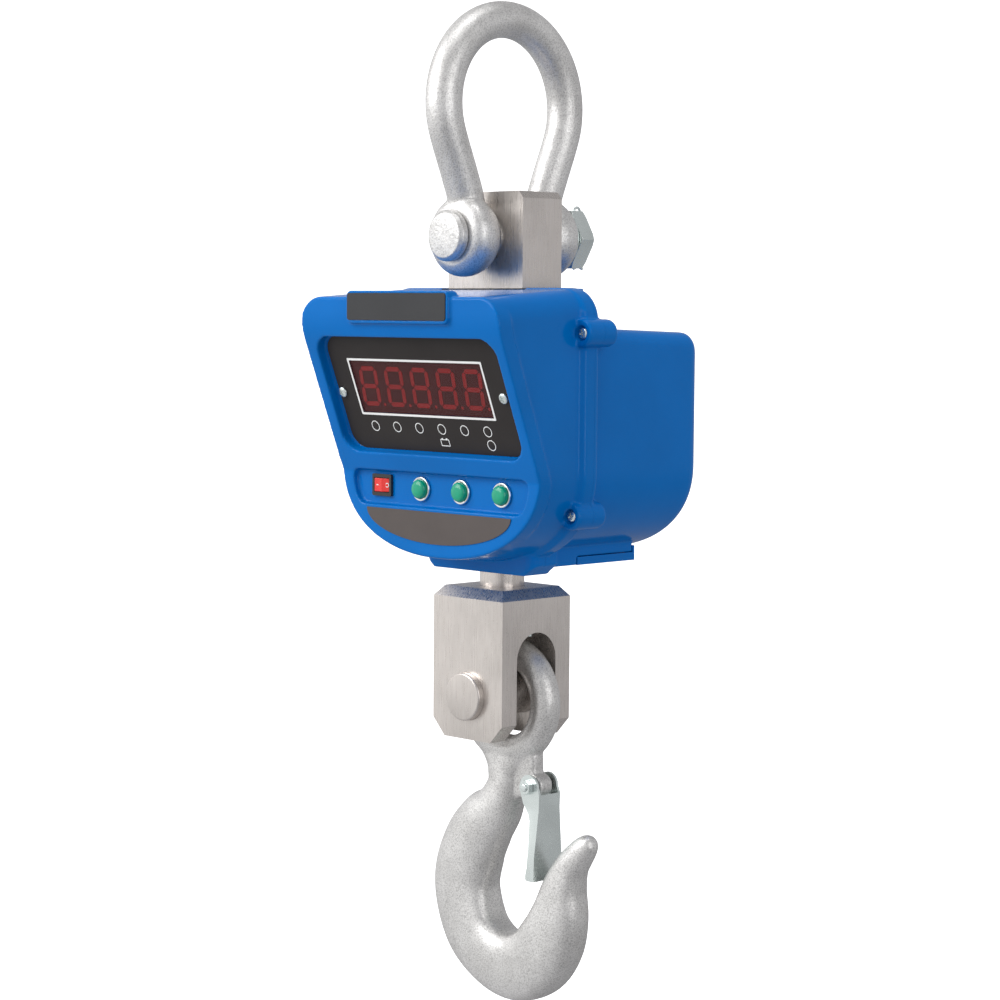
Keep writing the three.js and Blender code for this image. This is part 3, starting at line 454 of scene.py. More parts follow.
ZINC = galvanised("galvanised_forging")
STEEL = machined("machined_steel", (0.70, 0.655, 0.62), 0.30)
TURNED = machined("turned_steel", (0.74, 0.69, 0.65), 0.2)
PLATED = finish_material("bright_zinc_plate", (0.74, 0.80, 0.785), 0.24, 0.95, 0.06, 40, 700, relief=0.06)
CHROME = finish_material("chrome_plate", (0.82, 0.83, 0.84), 0.08, 1.0, 0.02, 60, 500,
                         relief=0.01, gloss_spread=0.03)
BLUE = finish_material("blue_coat", (0.0, 0.153, 0.52), 0.18, 0.0, 0.05, 12, 160,
                       relief=0.06, gloss_spread=0.03, coat=0.14, specular=0.07)
FILM = finish_material("black_film", (0.031, 0.027, 0.026), 0.42, 0.0, 0.06, 30, 900,
                       relief=0.03, specular=0.15)
GREY_FILM = finish_material("grey_film", (0.105, 0.090, 0.085), 0.45, 0.0, 0.05, 30, 900,
                            relief=0.03, specular=0.2)
PLATE_GREY = finish_material("plate_grey", (0.044, 0.045, 0.048), 0.42, 0.0, 0.05, 30, 900,
                             relief=0.03, specular=0.2)
BLACK = finish_material("black_plastic", (0.02, 0.02, 0.021), 0.42, 0.0, 0.08, 60, 1200, relief=0.1)
RUBBER = finish_material("black_rubber", (0.016, 0.016, 0.017), 0.75, 0.0, 0.1, 60, 1400,
                         relief=0.2, specular=0.3)
WHITE = finish_material("white_print", (0.92, 0.93, 0.92), 0.4, 0.0, 0.02, 60, 1400, relief=0.03)
RED = finish_material("red_plastic", (0.80, 0.022, 0.016), 0.28, 0.0, 0.05, 80, 1200, relief=0.04, coat=0.3)
GREEN = finish_material("green_plastic", (0.0, 0.36, 0.20), 0.2, 0.0, 0.06, 80, 900, relief=0.03, coat=0.2)
BOARD = finish_material("circuit_board", (0.012, 0.11, 0.045), 0.4, 0.0, 0.15, 90, 700, relief=0.1)
MODULE = finish_material("digit_face", (0.062, 0.022, 0.022), 0.5, 0.0, 0.1, 80, 900,
                         relief=0.05, specular=0.2)
DARK_STEEL = finish_material("oiled_steel", (0.20, 0.19, 0.18), 0.35, 0.9, 0.15, 60, 600, relief=0.1)


def lit_red():
    material, tree, shader = shader_of("red_segments")
    glow = ramp(tree, noise(tree, 300), [(0.3, (0.36, 0.014, 0.014)), (0.7, (0.42, 0.018, 0.018))])
    tree.links.new(glow, shader.inputs["Base Color"])
    tree.links.new(glow, shader.inputs["Emission Color"])
    shader.inputs["Emission Strength"].default_value = 0.12
    shader.inputs["Roughness"].default_value = 0.5
    return material


def smoked_lens():
    material, tree, shader = shader_of("smoked_lens")
    tint = ramp(tree, noise(tree, 30), [(0.3, (0.09, 0.012, 0.014)), (0.7, (0.11, 0.016, 0.018))])
    tree.links.new(tint, shader.inputs["Base Color"])
    shader.inputs["Alpha"].default_value = 0.22
    shader.inputs["Roughness"].default_value = 0.06
    return material


SEGMENT = lit_red()
LENS = smoked_lens()


def dress(obj, material, body, nodes=()):
    """Gives a piece its material and body, and hides the CAD nodes it stands for."""
    obj.data.materials.clear()
    obj.data.materials.append(material)
    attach(obj, body)
    if nodes:
        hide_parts(*nodes)
    return obj


def coat_node(node, material, bevel=0.0):
    """A CAD node that keeps its own shape gets a material, and soft edges when a bevel width is given."""
    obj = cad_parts[node]
    for place in obj.material_slots:
        place.link = "OBJECT"
        place.material = material
    if bevel:
        step = obj.modifiers.new("edges", "BEVEL")
        step.width = bevel * MM
        step.segments = 2
        step.limit_method = "ANGLE"
        step.angle_limit = math.radians(30)


def recut(node, material, body, width):
    """A piece with the CAD node's own shape and bevelled edges."""
    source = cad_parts[node]
    mesh = source.data.copy()
    mesh.transform(source.matrix_world)
    obj = bpy.data.objects.new(f"{node}_finished", mesh)
    bpy.context.collection.objects.link(obj)
    dress(bevelled(obj, width, 3), material, body, [node])


# ---- shackle ----
def shackle():
    centre_z = BAR_R - BOW_R
    turn = math.radians(112)
    half = [Vector((0, BOW_R * math.sin(t), centre_z + BOW_R * math.cos(t)))
            for t in (turn * i / 8 for i in range(9))]
    leg = ((46.5, 44), (40, 26), ((EAR_IN + EAR_OUT) / 2, 8))
    half += [Vector((0, y, PIN_Z + above_pin)) for y, above_pin in leg]
    left = [Vector((0, -p.y, p.z)) for p in reversed(half[1:])]
    body = bar("shackle_bow_forging", spline(left + half, 220), Vector((1, 0, 0)), BAR_R, 48)
    ear = ((EAR_IN - 1, 17), (27, 22.5), (31, 26.3), (37, 28.8), (42, 29.4), (47, 28.8), (51.5, 26),
           (EAR_OUT, 21.5))
    profile = spline([Vector(p) for p in ear], 28)
    for side in (-1, 1):
        body = fused(body, lathe("ear", "y", (0, 0, PIN_Z), [(side * y, r) for y, r in profile]))
    cast(body, 1.1, 14)
    cut(body, box(-40, 40, -EAR_IN, EAR_IN, PIN_Z - 40, PIN_Z + 26))
    cut(body, rod("y", (0, 0, PIN_Z), -70, 70, PIN_R + 0.3))
    shade(body, 40)
    dress(body, ZINC, "shackle", ["shackle_bow"])

    head = EAR_OUT + 8.5
    end = 82
    crest, root, pitch = 14.4, 13.3, 1.8
    steps = [(-head, 16), (-head + 2.4, 18.5), (-EAR_OUT - 1.6, 18.5), (-EAR_OUT - 0.3, 17.3),
             (-EAR_OUT - 0.3, PIN_R), (EAR_OUT + 2, PIN_R), (EAR_OUT + 2, crest)]
    for i in range(13):
        steps += [(EAR_OUT + 3 + i * pitch, crest), (EAR_OUT + 3.9 + i * pitch, root)]
    steps += [(end - 0.9, 13.6), (end, 12.6)]
    pin = lathe("shackle_pin_forging", "y", (0, 0, PIN_Z), rounded_steps(steps, 0.5, 2))
    cut(pin, rod("z", (0, COTTER_Y, PIN_Z), -30, 30, 2.6, 24))
    dress(shade(pin), ZINC, "shackle", ["shackle_pin"])

    edge = rounded_steps([(EAR_OUT + 0.3, 22), (EAR_OUT + 3, 22)], 0.6)
    washer = lathe("shackle_washer_turned", "y", (0, 0, PIN_Z), edge)
    cut(washer, rod("y", (0, 0, PIN_Z), 40, 90, PIN_R + 0.5))
    dress(shade(washer), PLATED, "shackle", ["shackle_washer"])

    low, high = EAR_OUT + 3.3, EAR_OUT + 17.5
    nut = prism("shackle_nut_forged", hexagon(43, 0), low, high)
    moved(nut, Matrix.Translation((0, 0, PIN_Z)))
    corners = [(low, 22.5), (low + 2, 26), (high - 2, 26), (high, 22.5)]
    common(nut, lathe("chamfer", "y", (0, 0, PIN_Z), corners))
    cut(nut, rod("y", (0, 0, PIN_Z), 40, 90, 14.7))
    dress(bevelled(nut, 0.4, 2), PLATED, "shackle", ["shackle_nut"])

    wire = 2.1
    legs = []
    for side in (-0.55, 0.55):
        along = ((side * wire, 21), (side * wire, 0), (side * wire, -17), (side * 4.2 + 1.5, -20.5),
                 (side * 9 + 1.5, -21.5))
        line = [Vector((0, COTTER_Y + y, PIN_Z + z)) for y, z in along]
        legs.append(bar("leg", spline(line, 40), Vector((1, 0, 0)), wire * 0.48, 16))
    ring = [Vector((0, COTTER_Y + 3.2 * math.sin(t), PIN_Z + 21.5 + 3.2 * math.cos(t)))
            for t in (2 * math.pi * i / 32 for i in range(33))]
    cotter = joined("cotter_pin_wire", *legs, bar("eye", ring, Vector((1, 0, 0)), wire * 0.48, 16))
    dress(shade(cotter, 50), PLATED, "shackle", ["cotter_pin"])


# ---- case ----
def shield(y, half, top, low, corner=13, fine=14):
    """The case's outline at one depth: level top with round corners, straight sides, rounded foot."""
    power = 2 / 2.25
    right = [(half - corner + corner * math.sin(t), top - corner + corner * math.cos(t))
             for t in (math.pi / 2 * i / fine for i in range(fine + 1))]
    foot = [math.pi / 2 * i / (3 * fine) for i in range(3 * fine)]
    right += [(half * math.cos(t) ** power, SHOULDER - (SHOULDER - low) * math.sin(t) ** power) for t in foot]
    left = [(-x, z) for x, z in reversed(right)]
    ring = right + [(0, low)] + left
    return [(x, y, z + CASE_TOP) for x, z in ring]


def behind_face(depth):
    far, high, deep = 150, 60, -260
    top, knee, low = (Vector(p) for p in ((FACE_TOP_Y, FACE_BREAK_HIGH + 12), (FACE_TOP_Y, FACE_BREAK_HIGH),
                                          (FACE_LOW_Y, FACE_BREAK_LOW)))
    lower = knee + (low - knee).normalized() * 12
    bend = [top * (1 - t) ** 2 + knee * 2 * t * (1 - t) + lower * t**2 for t in (i / 8 for i in range(9))]
    face = [(FACE_TOP_Y + depth, high)] + [(p[0] + depth, p[1]) for p in bend]
    face += [(FACE_LOW_Y + depth, FACE_BREAK_LOW), (FACE_LOW_Y + depth, deep), (far, deep), (far, high)]
    return prism("behind", [(y, z + CASE_TOP) for y, z in face], -far, far, "yz")


def on_panel(obj):
    """From the display panel's own frame (X right, Y up the panel, Z out of it) to its place."""
    return moved(obj, Matrix.Translation(PANEL) @ Matrix.Rotation(math.pi / 2 + TILT, 4, "X"))


def case_box(x0, x1, y0, y1, z0, z1):
    return box(x0, x1, y0, y1, z0 + CASE_TOP, z1 + CASE_TOP)


def at_lugs():
    return [(side * x, z + CASE_TOP) for x, z in LUGS for side in (1, -1)]


def recess_outline():
    top, low, turn = -135, -160.5, 9
    right = [(84, top)]
    for i in range(turn + 1):
        t = i / turn
        across = (1 - t) ** 2 * 84 + 2 * t * (1 - t) * 92 + t * t * 91
        right.append((across, (1 - t * t) * top + t * t * (top - 8)))
    for i in range(1, turn + 1):
        t = i / turn
        right.append(((1 - t) ** 2 * 91 + 2 * t * (1 - t) * 88 + t * t * 78,
                      (1 - t) ** 2 * (top - 8) + (1 - (1 - t) ** 2) * low))
    return [(x, z + CASE_TOP) for x, z in right + [(-x, z) for x, z in reversed(right)]]


def belly(near, far):
    """The bulge under the case, round the lower end of the load cell."""
    high = -185
    plan = prism("belly", rounded_rectangle(2 * BELLY_W, 2 * BELLY_D, 8), BELLY_LOW + CASE_TOP,
                 high + CASE_TOP, "xy")
    ends = [(-BELLY_W, high), (-BELLY_W, BELLY_LOW + 8), (10 - BELLY_W, BELLY_LOW),
            (BELLY_W - 10, BELLY_LOW), (BELLY_W, BELLY_LOW + 8), (BELLY_W, high)]
    return common(plan, prism("ends", [(x, z + CASE_TOP) for x, z in ends], near, far))


def cut_neck_and_shaft(body):
    cut(body, case_box(-NECK_W, NECK_W, -NECK_D, NECK_D, -14, 5))
    cut(body, rod("z", (0, 0, CASE_TOP), -230, -190, SHAFT_BORE))


def front_case():
    body = loft("front_case_casting", [shield(-125, RIM_W - 0.4, -8.6, -192, RIM_CORNER),
                                       shield(-22.2, BODY_W, -1, -200, FLANGE_CORNER - 2)])
    common(body, behind_face(1.5))
    rim = loft("rim", [shield(y, RIM_W, -8.2, -196, RIM_CORNER) for y in (-125, -20)])
    common(rim, behind_face(0))
    cut(rim, behind_face(13))
    flange = loft("flange", [shield(PARTING - 10.6, FLANGE_W - 3, -2, -201, FLANGE_CORNER),
                             shield(PARTING - 7.6, FLANGE_W, 0, -203, FLANGE_CORNER + 4),
                             shield(PARTING, FLANGE_W, 0, -203, FLANGE_CORNER + 4),
                             shield(PARTING + 5, FLANGE_W, 0, -203, FLANGE_CORNER + 4)])
    tab = prism("tab", rounded_rectangle(106, 23.4, 4, 3, -14.7 + CASE_TOP), FACE_TOP_Y - 3, FACE_TOP_Y + 8)
    lug = [(LUG_FRONT, LUG_R - 0.6), (LUG_FRONT + 2, LUG_R), (PARTING + 5, LUG_R)]
    lugs = [lathe("lug", "y", (x, 0, z), lug) for x, z in at_lugs()]
    fused(body, rim, flange, tab, belly(-BELLY_D, PARTING + 5), *lugs)
    inner = loft("inner", [shield(-125, BODY_W - WALL, -8.2 - WALL, -195 + WALL),
                           shield(-18, BODY_W - WALL, -1 - WALL, -200 + WALL),
                           shield(20, BODY_W - WALL, -1 - WALL, -200 + WALL)])
    cell_room = case_box(-CELL_W, CELL_W, -CELL_D, CELL_D, BELLY_LOW + 3, -150)
    cut(body, common(inner, behind_face(11.5)), cell_room)
    cut_neck_and_shaft(body)
    cut(body, prism("recess", recess_outline(), FACE_LOW_Y - 40, CONTROL_Y))
    bed = rounded_rectangle(LABEL_W + 6, LABEL_H + 2.6, 15, LABEL_SHIFT - 1, 0.7)
    cut(body, on_panel(prism("label_bed", bed, -1.4, 40, "xy")))
    cut(body, on_panel(prism("window_hole", rounded_rectangle(138, 41.5, 2, 0, WINDOW_V), -30, 5, "xy")))
    plate_bed = rounded_rectangle(103, 20, 2, PLATE_X, PLATE_Z)
    cut(body, prism("plate_bed", plate_bed, FACE_TOP_Y - 6, FACE_TOP_Y - 2))
    for x, z in at_lugs():
        cut(body, rod("y", (x, 0, z), LUG_FRONT - 1, SCREW_SEAT, 5.4, 48))
    cast(body, 0.9, 9, 0.45)
    seam = loft("seam", [shield(y, FLANGE_W - 1.4, -1.4, -201.6, FLANGE_CORNER + 3)
                         for y in (PARTING + 0.2, 40)])
    cut(body, case_box(-150, 150, REAR_START - 0.12, 150, -260, 60), seam)
    cut(body, case_box(-71.75, -53.35, -90, -40, CONTROL_Z - 6.2, CONTROL_Z + 7.8))
    for x in BUTTONS:
        cut(body, rod("y", (x, 0, CONTROL_Z + CASE_TOP), -90, -40, 8.3, 48))
    for x, z in at_lugs():
        cut(body, rod("y", (x, 0, z), LUG_FRONT, 5, 2.8, 32))
    shade(body, 50)
    dress(body, BLUE, "scale_body", ["front_case"])


def rear_case():
    start, edge = REAR_START - 3, 12  # the solids start ahead of the joint and are cut back to it
    high, low = -31.5, -196.5
    rings = [shield(start, REAR_W, -28, -197, 12), shield(REAR_END - edge, REAR_W - 1, high, low, 12)]
    for i in range(1, 7):
        t = math.pi / 2 * i / 6
        inset = edge * (1 - math.cos(t))
        depth = REAR_END - edge + edge * math.sin(t)
        rings.append(shield(depth, REAR_W - 1 - inset, high - inset, low + inset, 12))
    body = loft("rear_case_casting", rings)
    level = [shield(y, FLANGE_W, 0, -203, FLANGE_CORNER + 4) for y in (start, REAR_START + 3)]
    flange = loft("flange", level + [shield(REAR_START + 8, FLANGE_W - 5, -4, -199, FLANGE_CORNER)])
    lugs = []
    for x, z in at_lugs():
        lug = [(start, LUG_R), (LUG_BACK - 1.5, LUG_R), (LUG_BACK, LUG_R - 1.5)]
        lugs.append(lathe("lug", "y", (x, 0, z), lug))
        inner = x - math.copysign(24, x)
        lugs.append(box(min(x, inner), max(x, inner), start, LUG_BACK, z - 7, z + 7))
    collar = rod("z", (0, 0, CASE_TOP), BELLY_LOW, -190, BELLY_D + 2)
    foot = case_box(-50, 50, start, FOOT_END, FOOT_LOW + COVER_T + 0.3, -170)
    foot_rim = case_box(-50, 50, start, COVER_FRONT - 0.3, FOOT_LOW, -190)
    fused(body, flange, case_box(-52, 52, start, 31, -40, 0), *lugs, collar, belly(start, 0), foot, foot_rim)
    inner = loft("inner", [shield(-20, REAR_W - WALL, -28 - WALL, -197 + WALL, 10),
                           shield(REAR_END - 14, REAR_W - 1 - WALL, high - WALL, low + WALL, 10),
                           shield(REAR_END - WALL, REAR_W - 14, -48, -182, 10)])
    cut(body, inner, case_box(-48, 48, REAR_START - 5, 27, -45, -3.5),
        case_box(-CELL_W, CELL_W, REAR_START - 5, CELL_D, FOOT_LOW + 3, -150))
    cut_neck_and_shaft(body)
    cut(body, case_box(-43, 43, 38, 84, -230, -160))
    cast(body, 0.95, 9, 0.45)
    cut(body, case_box(-150, 150, -150, REAR_START, -260, 60))
    socket = (-60, 0, -60 + CASE_TOP)
    cut(body, rod("y", socket, 90, 130, 6.4, 48), rod("y", socket, REAR_END - 2, 130, 8.6, 48))
    for x in (-TAB_SCREW_X, TAB_SCREW_X):
        cut(body, rod("y", (x, 0, TAB_SCREW_Z + CASE_TOP), 84.2, 95, 1.9, 24))
    shade(body, 50)
    dress(body, BLUE, "scale_body", ["rear_case"])


def cross_screw(name, node, radius, matrix):
    """A pan-head screw with a cross recess, modelled along +Z with its seat at zero."""
    rise = 0.55 * radius
    steps = [(-1, radius * 0.5), (0, radius * 0.5), (0, radius), (0.35 * rise, radius)]
    steps += [(0.35 * rise + 0.65 * rise * math.sin(t), radius * math.cos(t))
              for t in (math.radians(12 * i) for i in range(1, 7))]
    head = lathe(name, "z", (0, 0, 0), steps, 64)
    arm = radius * 0.62
    cut(head, box(-arm, arm, -0.13 * radius, 0.13 * radius, 0.45 * rise, 2 * rise))
    cut(head, box(-0.13 * radius, 0.13 * radius, -arm, arm, 0.45 * rise, 2 * rise))
    cut(head, lathe("drive", "z", (0, 0, 0), [(0.35 * rise, 0.12 * radius), (2 * rise, 0.45 * radius)], 24))
    moved(head, matrix)
    dress(shade(head, 30), PLATED, "scale_body", [node])


def screws():
    facing_front = Matrix.Rotation(math.pi / 2, 4, "X")
    facing_back = Matrix.Rotation(-math.pi / 2, 4, "X")
    names = ("upper_right", "upper_left", "lower_right", "lower_left")
    for name, (x, z) in zip(names, at_lugs()):
        place = Matrix.Translation((x, SCREW_SEAT - 0.3, z)) @ facing_front @ Matrix.Rotation(x, 4, "Z")
        cross_screw(f"{name}_screw_head", f"{name}_case_screw", 4.1, place)
    for name, x in (("left", -TAB_SCREW_X), ("right", TAB_SCREW_X)):
        place = Matrix.Translation((x, FOOT_END + 2.6, TAB_SCREW_Z + CASE_TOP)) @ facing_back
        cross_screw(f"{name}_cover_screw_head", f"{name}_cover_screw", 2.7, place)
    panel = Matrix.Translation(PANEL) @ Matrix.Rotation(math.pi / 2 + TILT, 4, "X")
    for name, x in (("left", -LABEL_SCREW_X), ("right", LABEL_SCREW_X)):
        cross_screw(f"{name}_label_screw_head", f"{name}_label_screw", 4,
                    panel @ Matrix.Translation((x, 0.3, 0.3)) @ Matrix.Rotation(0.5, 4, "Z"))


# ---- display ----
def frame_outline(name, outer, inner, low, high):
    ring = prism(name, outer, low, high, "xy")
    return cut(ring, prism("inside", inner, low - 1, high + 1, "xy"))


# Where each segment sits, in half widths and half heights, and whether it stands upright.
SEGMENTS = ((0, 1, 0), (1, 0.5, 1), (1, -0.5, 1), (0, -1, 0), (-1, -0.5, 1), (-1, 0.5, 1), (0, 0, 0))


def digit(index):
    x = (index - 2) * DIGIT_PITCH
    name = f"digit_{index + 1}"
    sides = rounded_rectangle(DIGIT_PITCH - 0.5, 38, 0.5, x, WINDOW_V + 1, 3)
    block = prism(f"{name}_module", sides, -9.9, -2.1, "xy")
    dress(shade(on_panel(block)), MODULE, "scale_body", [name])
    half_w, half_h, width, gap = 7.8, 13.9, 1.75, 0.55
    slant = math.tan(math.radians(9.4))
    bars = []
    for sx, sy, upright in SEGMENTS:
        cx, cy = sx * half_w, sy * half_h
        reach = (half_h / 2 if upright else half_w) - gap
        tip = [(-reach, 0), (-reach + width, width), (reach - width, width), (reach, 0),
               (reach - width, -width), (-reach + width, -width)]
        points = [(cx + (b if upright else a), cy + (a if upright else b)) for a, b in tip]
        points = [(x - 0.4 + a + b * slant, WINDOW_V + b) for a, b in points]
        bars.append(prism("segment", points, -1.52, -1.4, "xy"))
    dot = circle(x + 10.3, WINDOW_V - half_h - 0.4, 1.2, 32)
    bars.append(prism("point", dot, -1.52, -1.4, "xy"))
    lit = on_panel(joined(f"{name}_segments", *bars))
    dress(shade(lit), SEGMENT, "scale_body", ())


def ring_mark(x, y, radius, stroke, low, high):
    return frame_outline("ring", circle(x, y, radius, 48), circle(x, y, radius - stroke, 48), low, high)


def display():
    label = prism("display_label_film", rounded_rectangle(LABEL_W, LABEL_H, 13, LABEL_SHIFT), -1.1, 0, "xy")
    opening = rounded_rectangle(WINDOW_W - 3.4, WINDOW_H - 3.4, 0.6, 0, WINDOW_V)
    cut(label, prism("opening", opening, -5, 5, "xy"))
    for x in (-LABEL_SCREW_X, LABEL_SCREW_X):
        cut(label, rod("z", (x, 0.3, 0), -5, 5, 2.2, 32))
    on_panel(label)
    dress(bevelled(label, 0.25, 2), FILM, "scale_body", ["display_label"])

    pane = rounded_rectangle(WINDOW_W - 3.6, WINDOW_H - 3.6, 0.5, 0, WINDOW_V)
    window = prism("display_window_lens", pane, -1.1, -0.1, "xy")
    dress(shade(on_panel(window)), LENS, "scale_body", ["display_window"])

    backing = prism("display_backing", rounded_rectangle(137.6, 41.2, 1.5, 0, WINDOW_V), -2.0, -1.53, "xy")
    dress(shade(on_panel(backing)), MODULE, "scale_body", ())

    outer = rounded_rectangle(WINDOW_W, WINDOW_H, 0.8, 0, WINDOW_V)
    inner = rounded_rectangle(WINDOW_W - 3.3, WINDOW_H - 3.3, 0.6, 0, WINDOW_V)
    prints = [frame_outline("frame", outer, inner, 0.02, 0.12)]
    for x, y in LAMPS:
        prints.append(ring_mark(x, y, LAMP_R + 0.9, 0.6, 0.02, 0.14))
    battery = frame_outline("battery", rounded_rectangle(9, 5.4, 0.4, 11.3, -36.6, 2),
                            rounded_rectangle(7.8, 4.2, 0.2, 11.3, -36.6, 2), 0.02, 0.12)
    prints += [battery, box(8.3, 9.8, -33.9, -33.0, 0.02, 0.12), box(12.8, 14.3, -33.9, -33.0, 0.02, 0.12)]
    marks = on_panel(joined("display_print", *prints))
    dress(shade(marks), WHITE, "scale_body", ())
    for i in range(5):
        digit(i)

    lamps = []
    dome = [(0.05 + 0.5 * math.sin(t), LAMP_R * math.cos(t))
            for t in (math.radians(15 * i) for i in range(1, 6))]
    for x, y in LAMPS:
        lamps.append(lathe("lamp", "z", (x, y, 0), [(-0.4, LAMP_R), (0.05, LAMP_R)] + dome, 40))
    dress(shade(on_panel(joined("indicator_lamps", *lamps))), FILM, "scale_body", ())


# ---- controls and plates ----
def controls():
    z = CONTROL_Z + CASE_TOP
    rocker_z = z + 0.8
    front = CONTROL_Y - 2.2
    outline = rounded_rectangle(20.6, 16.2, 1, ROCKER_X, rocker_z, 4)
    bezel = prism("rocker_bezel_moulding", outline, front, CONTROL_Y - 0.3)
    for size, high, near, far, join in ((8.9, 6.6, CONTROL_Y - 1, CONTROL_Y + 16, fused),
                                        (8.2, 5.4, front - 3, CONTROL_Y + 6, cut)):
        join(bezel, box(ROCKER_X - size, ROCKER_X + size, near, far, rocker_z - high, rocker_z + high))
    dress(bevelled(bezel, 0.35, 2), BLACK, "scale_body", ["rocker_bezel"])

    outline = [(-7.9, -3.2), (-4, -3.45), (0, -4.6), (4, -3.45), (7.9, -3.2), (7.0, 0.5), (0, 2.5),
               (-7.0, 0.5)]
    lean = Matrix.Translation((ROCKER_X, CONTROL_Y + 1.5, rocker_z))
    lean @= Matrix.Rotation(math.radians(9), 4, "Z")
    tile = moved(bevelled(prism("power_rocker_tile", outline, -5, 5, "xy"), 0.5, 3), lean)
    dress(tile, RED, "power_rocker", ["power_rocker"])
    line = box(-5.4, -3.0, -3.56, -3.36, -0.35, 0.35)
    circle = moved(ring_mark(4.6, 0, 1.7, 0.5, 3.42, 3.62), Matrix.Rotation(math.pi / 2, 4, "X"))
    marks = moved(joined("rocker_marks", line, circle), lean)
    dress(shade(marks), WHITE, "power_rocker", ())

    for name, x in zip(("units", "hold", "zero"), BUTTONS):
        ring = [(front, 7.9), (front - 0.1, 8.6), (front + 0.5, 9.15), (CONTROL_Y - 0.3, 9.25),
                (CONTROL_Y - 0.3, 8), (CONTROL_Y + 20, 8)]
        bezel = lathe(f"{name}_bezel_ring", "y", (x, 0, z), rounded_steps(ring, 0.4, 3))
        cut(bezel, rod("y", (x, 0, z), -90, CONTROL_Y + 14, 7.5))
        dress(shade(bezel, 30), CHROME, "scale_body", [f"{name}_button_bezel"])
        dome = ((-6.4, 1.5), (-6.3, 3), (-6.0, 4.6), (-5.4, 5.9), (-4.5, 6.7), (-3.2, 7.05), (-1, 7.15),
                (9, 7.15))
        cap = lathe(f"{name}_button_cap", "y", (x, 0, z), [(CONTROL_Y + y, r) for y, r in dome])
        dress(shade(cap, 40), GREEN, f"{name}_button", [f"{name}_button"])

    top = -162.8 + CASE_TOP
    arc = [(75.5 * math.cos(t), top + 23.5 * math.sin(t))
           for t in (math.pi + math.pi * i / 64 for i in range(65))]
    film = prism("control_label_film", arc, FACE_LOW_Y - 0.7, FACE_LOW_Y - 0.3)
    dress(bevelled(film, 0.12, 2), GREY_FILM, "scale_body", ["control_label"])

    outline = rounded_rectangle(102.3, 19.3, 2, PLATE_X, PLATE_Z)
    plate = prism("capacity_plate_film", outline, FACE_TOP_Y - 3.4, FACE_TOP_Y - 2.3)
    dress(bevelled(plate, 0.25, 2), PLATE_GREY, "scale_body", ["capacity_plate"])


# ---- hook block ----
def hook_block():
    half_w, half_d = BLOCK_W / 2, BLOCK_D / 2
    right = [(half_w - 12.2, BLOCK_LOW), (half_w, BLOCK_LOW + 13), (half_w, BLOCK_TOP - 7.4),
             (half_w - 6, BLOCK_TOP)]
    outline = right + [(-x, z) for x, z in reversed(right)]
    block = prism("hook_block_milled", outline, -half_d, half_d)
    for side in (-1, 1):
        edge = [(side * (half_d + 1), BLOCK_TOP - 8.7), (side * (half_d + 1), BLOCK_TOP + 1.2),
                (side * (half_d - 7), BLOCK_TOP + 1.2)]
        cut(block, prism("edge", edge, -60, 60, "yz"))
    middle = SLOT_TOP - SLOT
    arch = [(SLOT * math.cos(t), middle + SLOT * math.sin(t)) for t in (math.pi * i / 64 for i in range(65))]
    cut(block, prism("slot", arch + [(-SLOT, -560), (SLOT, -560)], -60, 60, "yz"))
    cut(block, rod("y", (0, 0, CLEVIS_Z), -60, 60, CLEVIS_R + 0.15),
        rod("z", (0, 0, 0), BLOCK_TOP - 28, BLOCK_TOP + 10, SHAFT_R + 0.3),
        rod("z", (24, 4, 0), SLOT_TOP - 10, SLOT_TOP + 14, 3.3, 32))
    bevelled(block, 0.7, 3)
    dress(block, STEEL, "hook_block", ["hook_block"])

    shaft = lathe("swivel_shaft_turned", "z", (0, 0, 0), rounded_steps([
        (BLOCK_TOP - 27, SHAFT_R), (-352.5, SHAFT_R), (-352.5, 13.5), (-313, 13.5)], 0.6))
    cut(shaft, rod("x", (0, 0, -317.5), -40, 40, 2.3, 24))
    dress(shade(shaft), TURNED, "hook_block", ["swivel_shaft"])

    clip = half_d + 1.2
    front, back = -half_d - CLEVIS_OUT, half_d + CLEVIS_OUT
    pin = lathe("clevis_pin_turned", "y", (0, 0, CLEVIS_Z), rounded_steps([
        (front, CLEVIS_R - 1.0), (front + 1.0, CLEVIS_R), (clip, CLEVIS_R), (clip, CLEVIS_R - 2),
        (clip + 2.6, CLEVIS_R - 2), (clip + 2.6, CLEVIS_R), (back - 1, CLEVIS_R), (back, CLEVIS_R - 1)], 0.4))
    dress(shade(pin), STEEL, "hook_block", ["clevis_pin"])

    ring = lathe("clevis_clip_ring", "y", (0, 0, CLEVIS_Z),
                 [(clip + 0.3, CLEVIS_R + 3), (clip + 2.3, CLEVIS_R + 3)])
    cut(ring, rod("y", (0, 0, CLEVIS_Z), 0, 60, CLEVIS_R - 1.7), box(-5, 5, 0, 60, CLEVIS_Z - 30, CLEVIS_Z))
    dress(bevelled(ring, 0.3, 2), DARK_STEEL, "hook_block", ["clevis_pin_clip"])


# ---- hook and latch ----
# Stations down the hook: X, Z, half depth in the hook's plane, half thickness across it.
HOOK_LINE = (
    (2, -516.5, 31, 9), (2, -524, 29, 10.3), (2, -531, 25.5, 11.5), (1.8, -537, 20, 12.2),
    (1.5, -543.5, 16.5, 13), (1.2, -553, 15.8, 14), (-7, -571, 20, 16.5), (-21, -586, 25, 18),
    (-33.8, -606, 28, 19), (-41.6, -634.8, 27.8, 19), (-31.5, -667, 26.4, 19), (-9.5, -685, 25, 19),
    (14, -689, 26, 19), (35.6, -680.5, 26.5, 19), (50, -663, 25.8, 18.5), (57.8, -643.6, 22, 17.3),
    (62.2, -621.8, 16.2, 15), (68, -606.5, 13, 12.5), (75.5, -596.5, 11.4, 10.8),
    (83, -588.5, 9.4, 9), (88, -584.5, 6.6, 6.4), (90.3, -583, 3, 3),
)


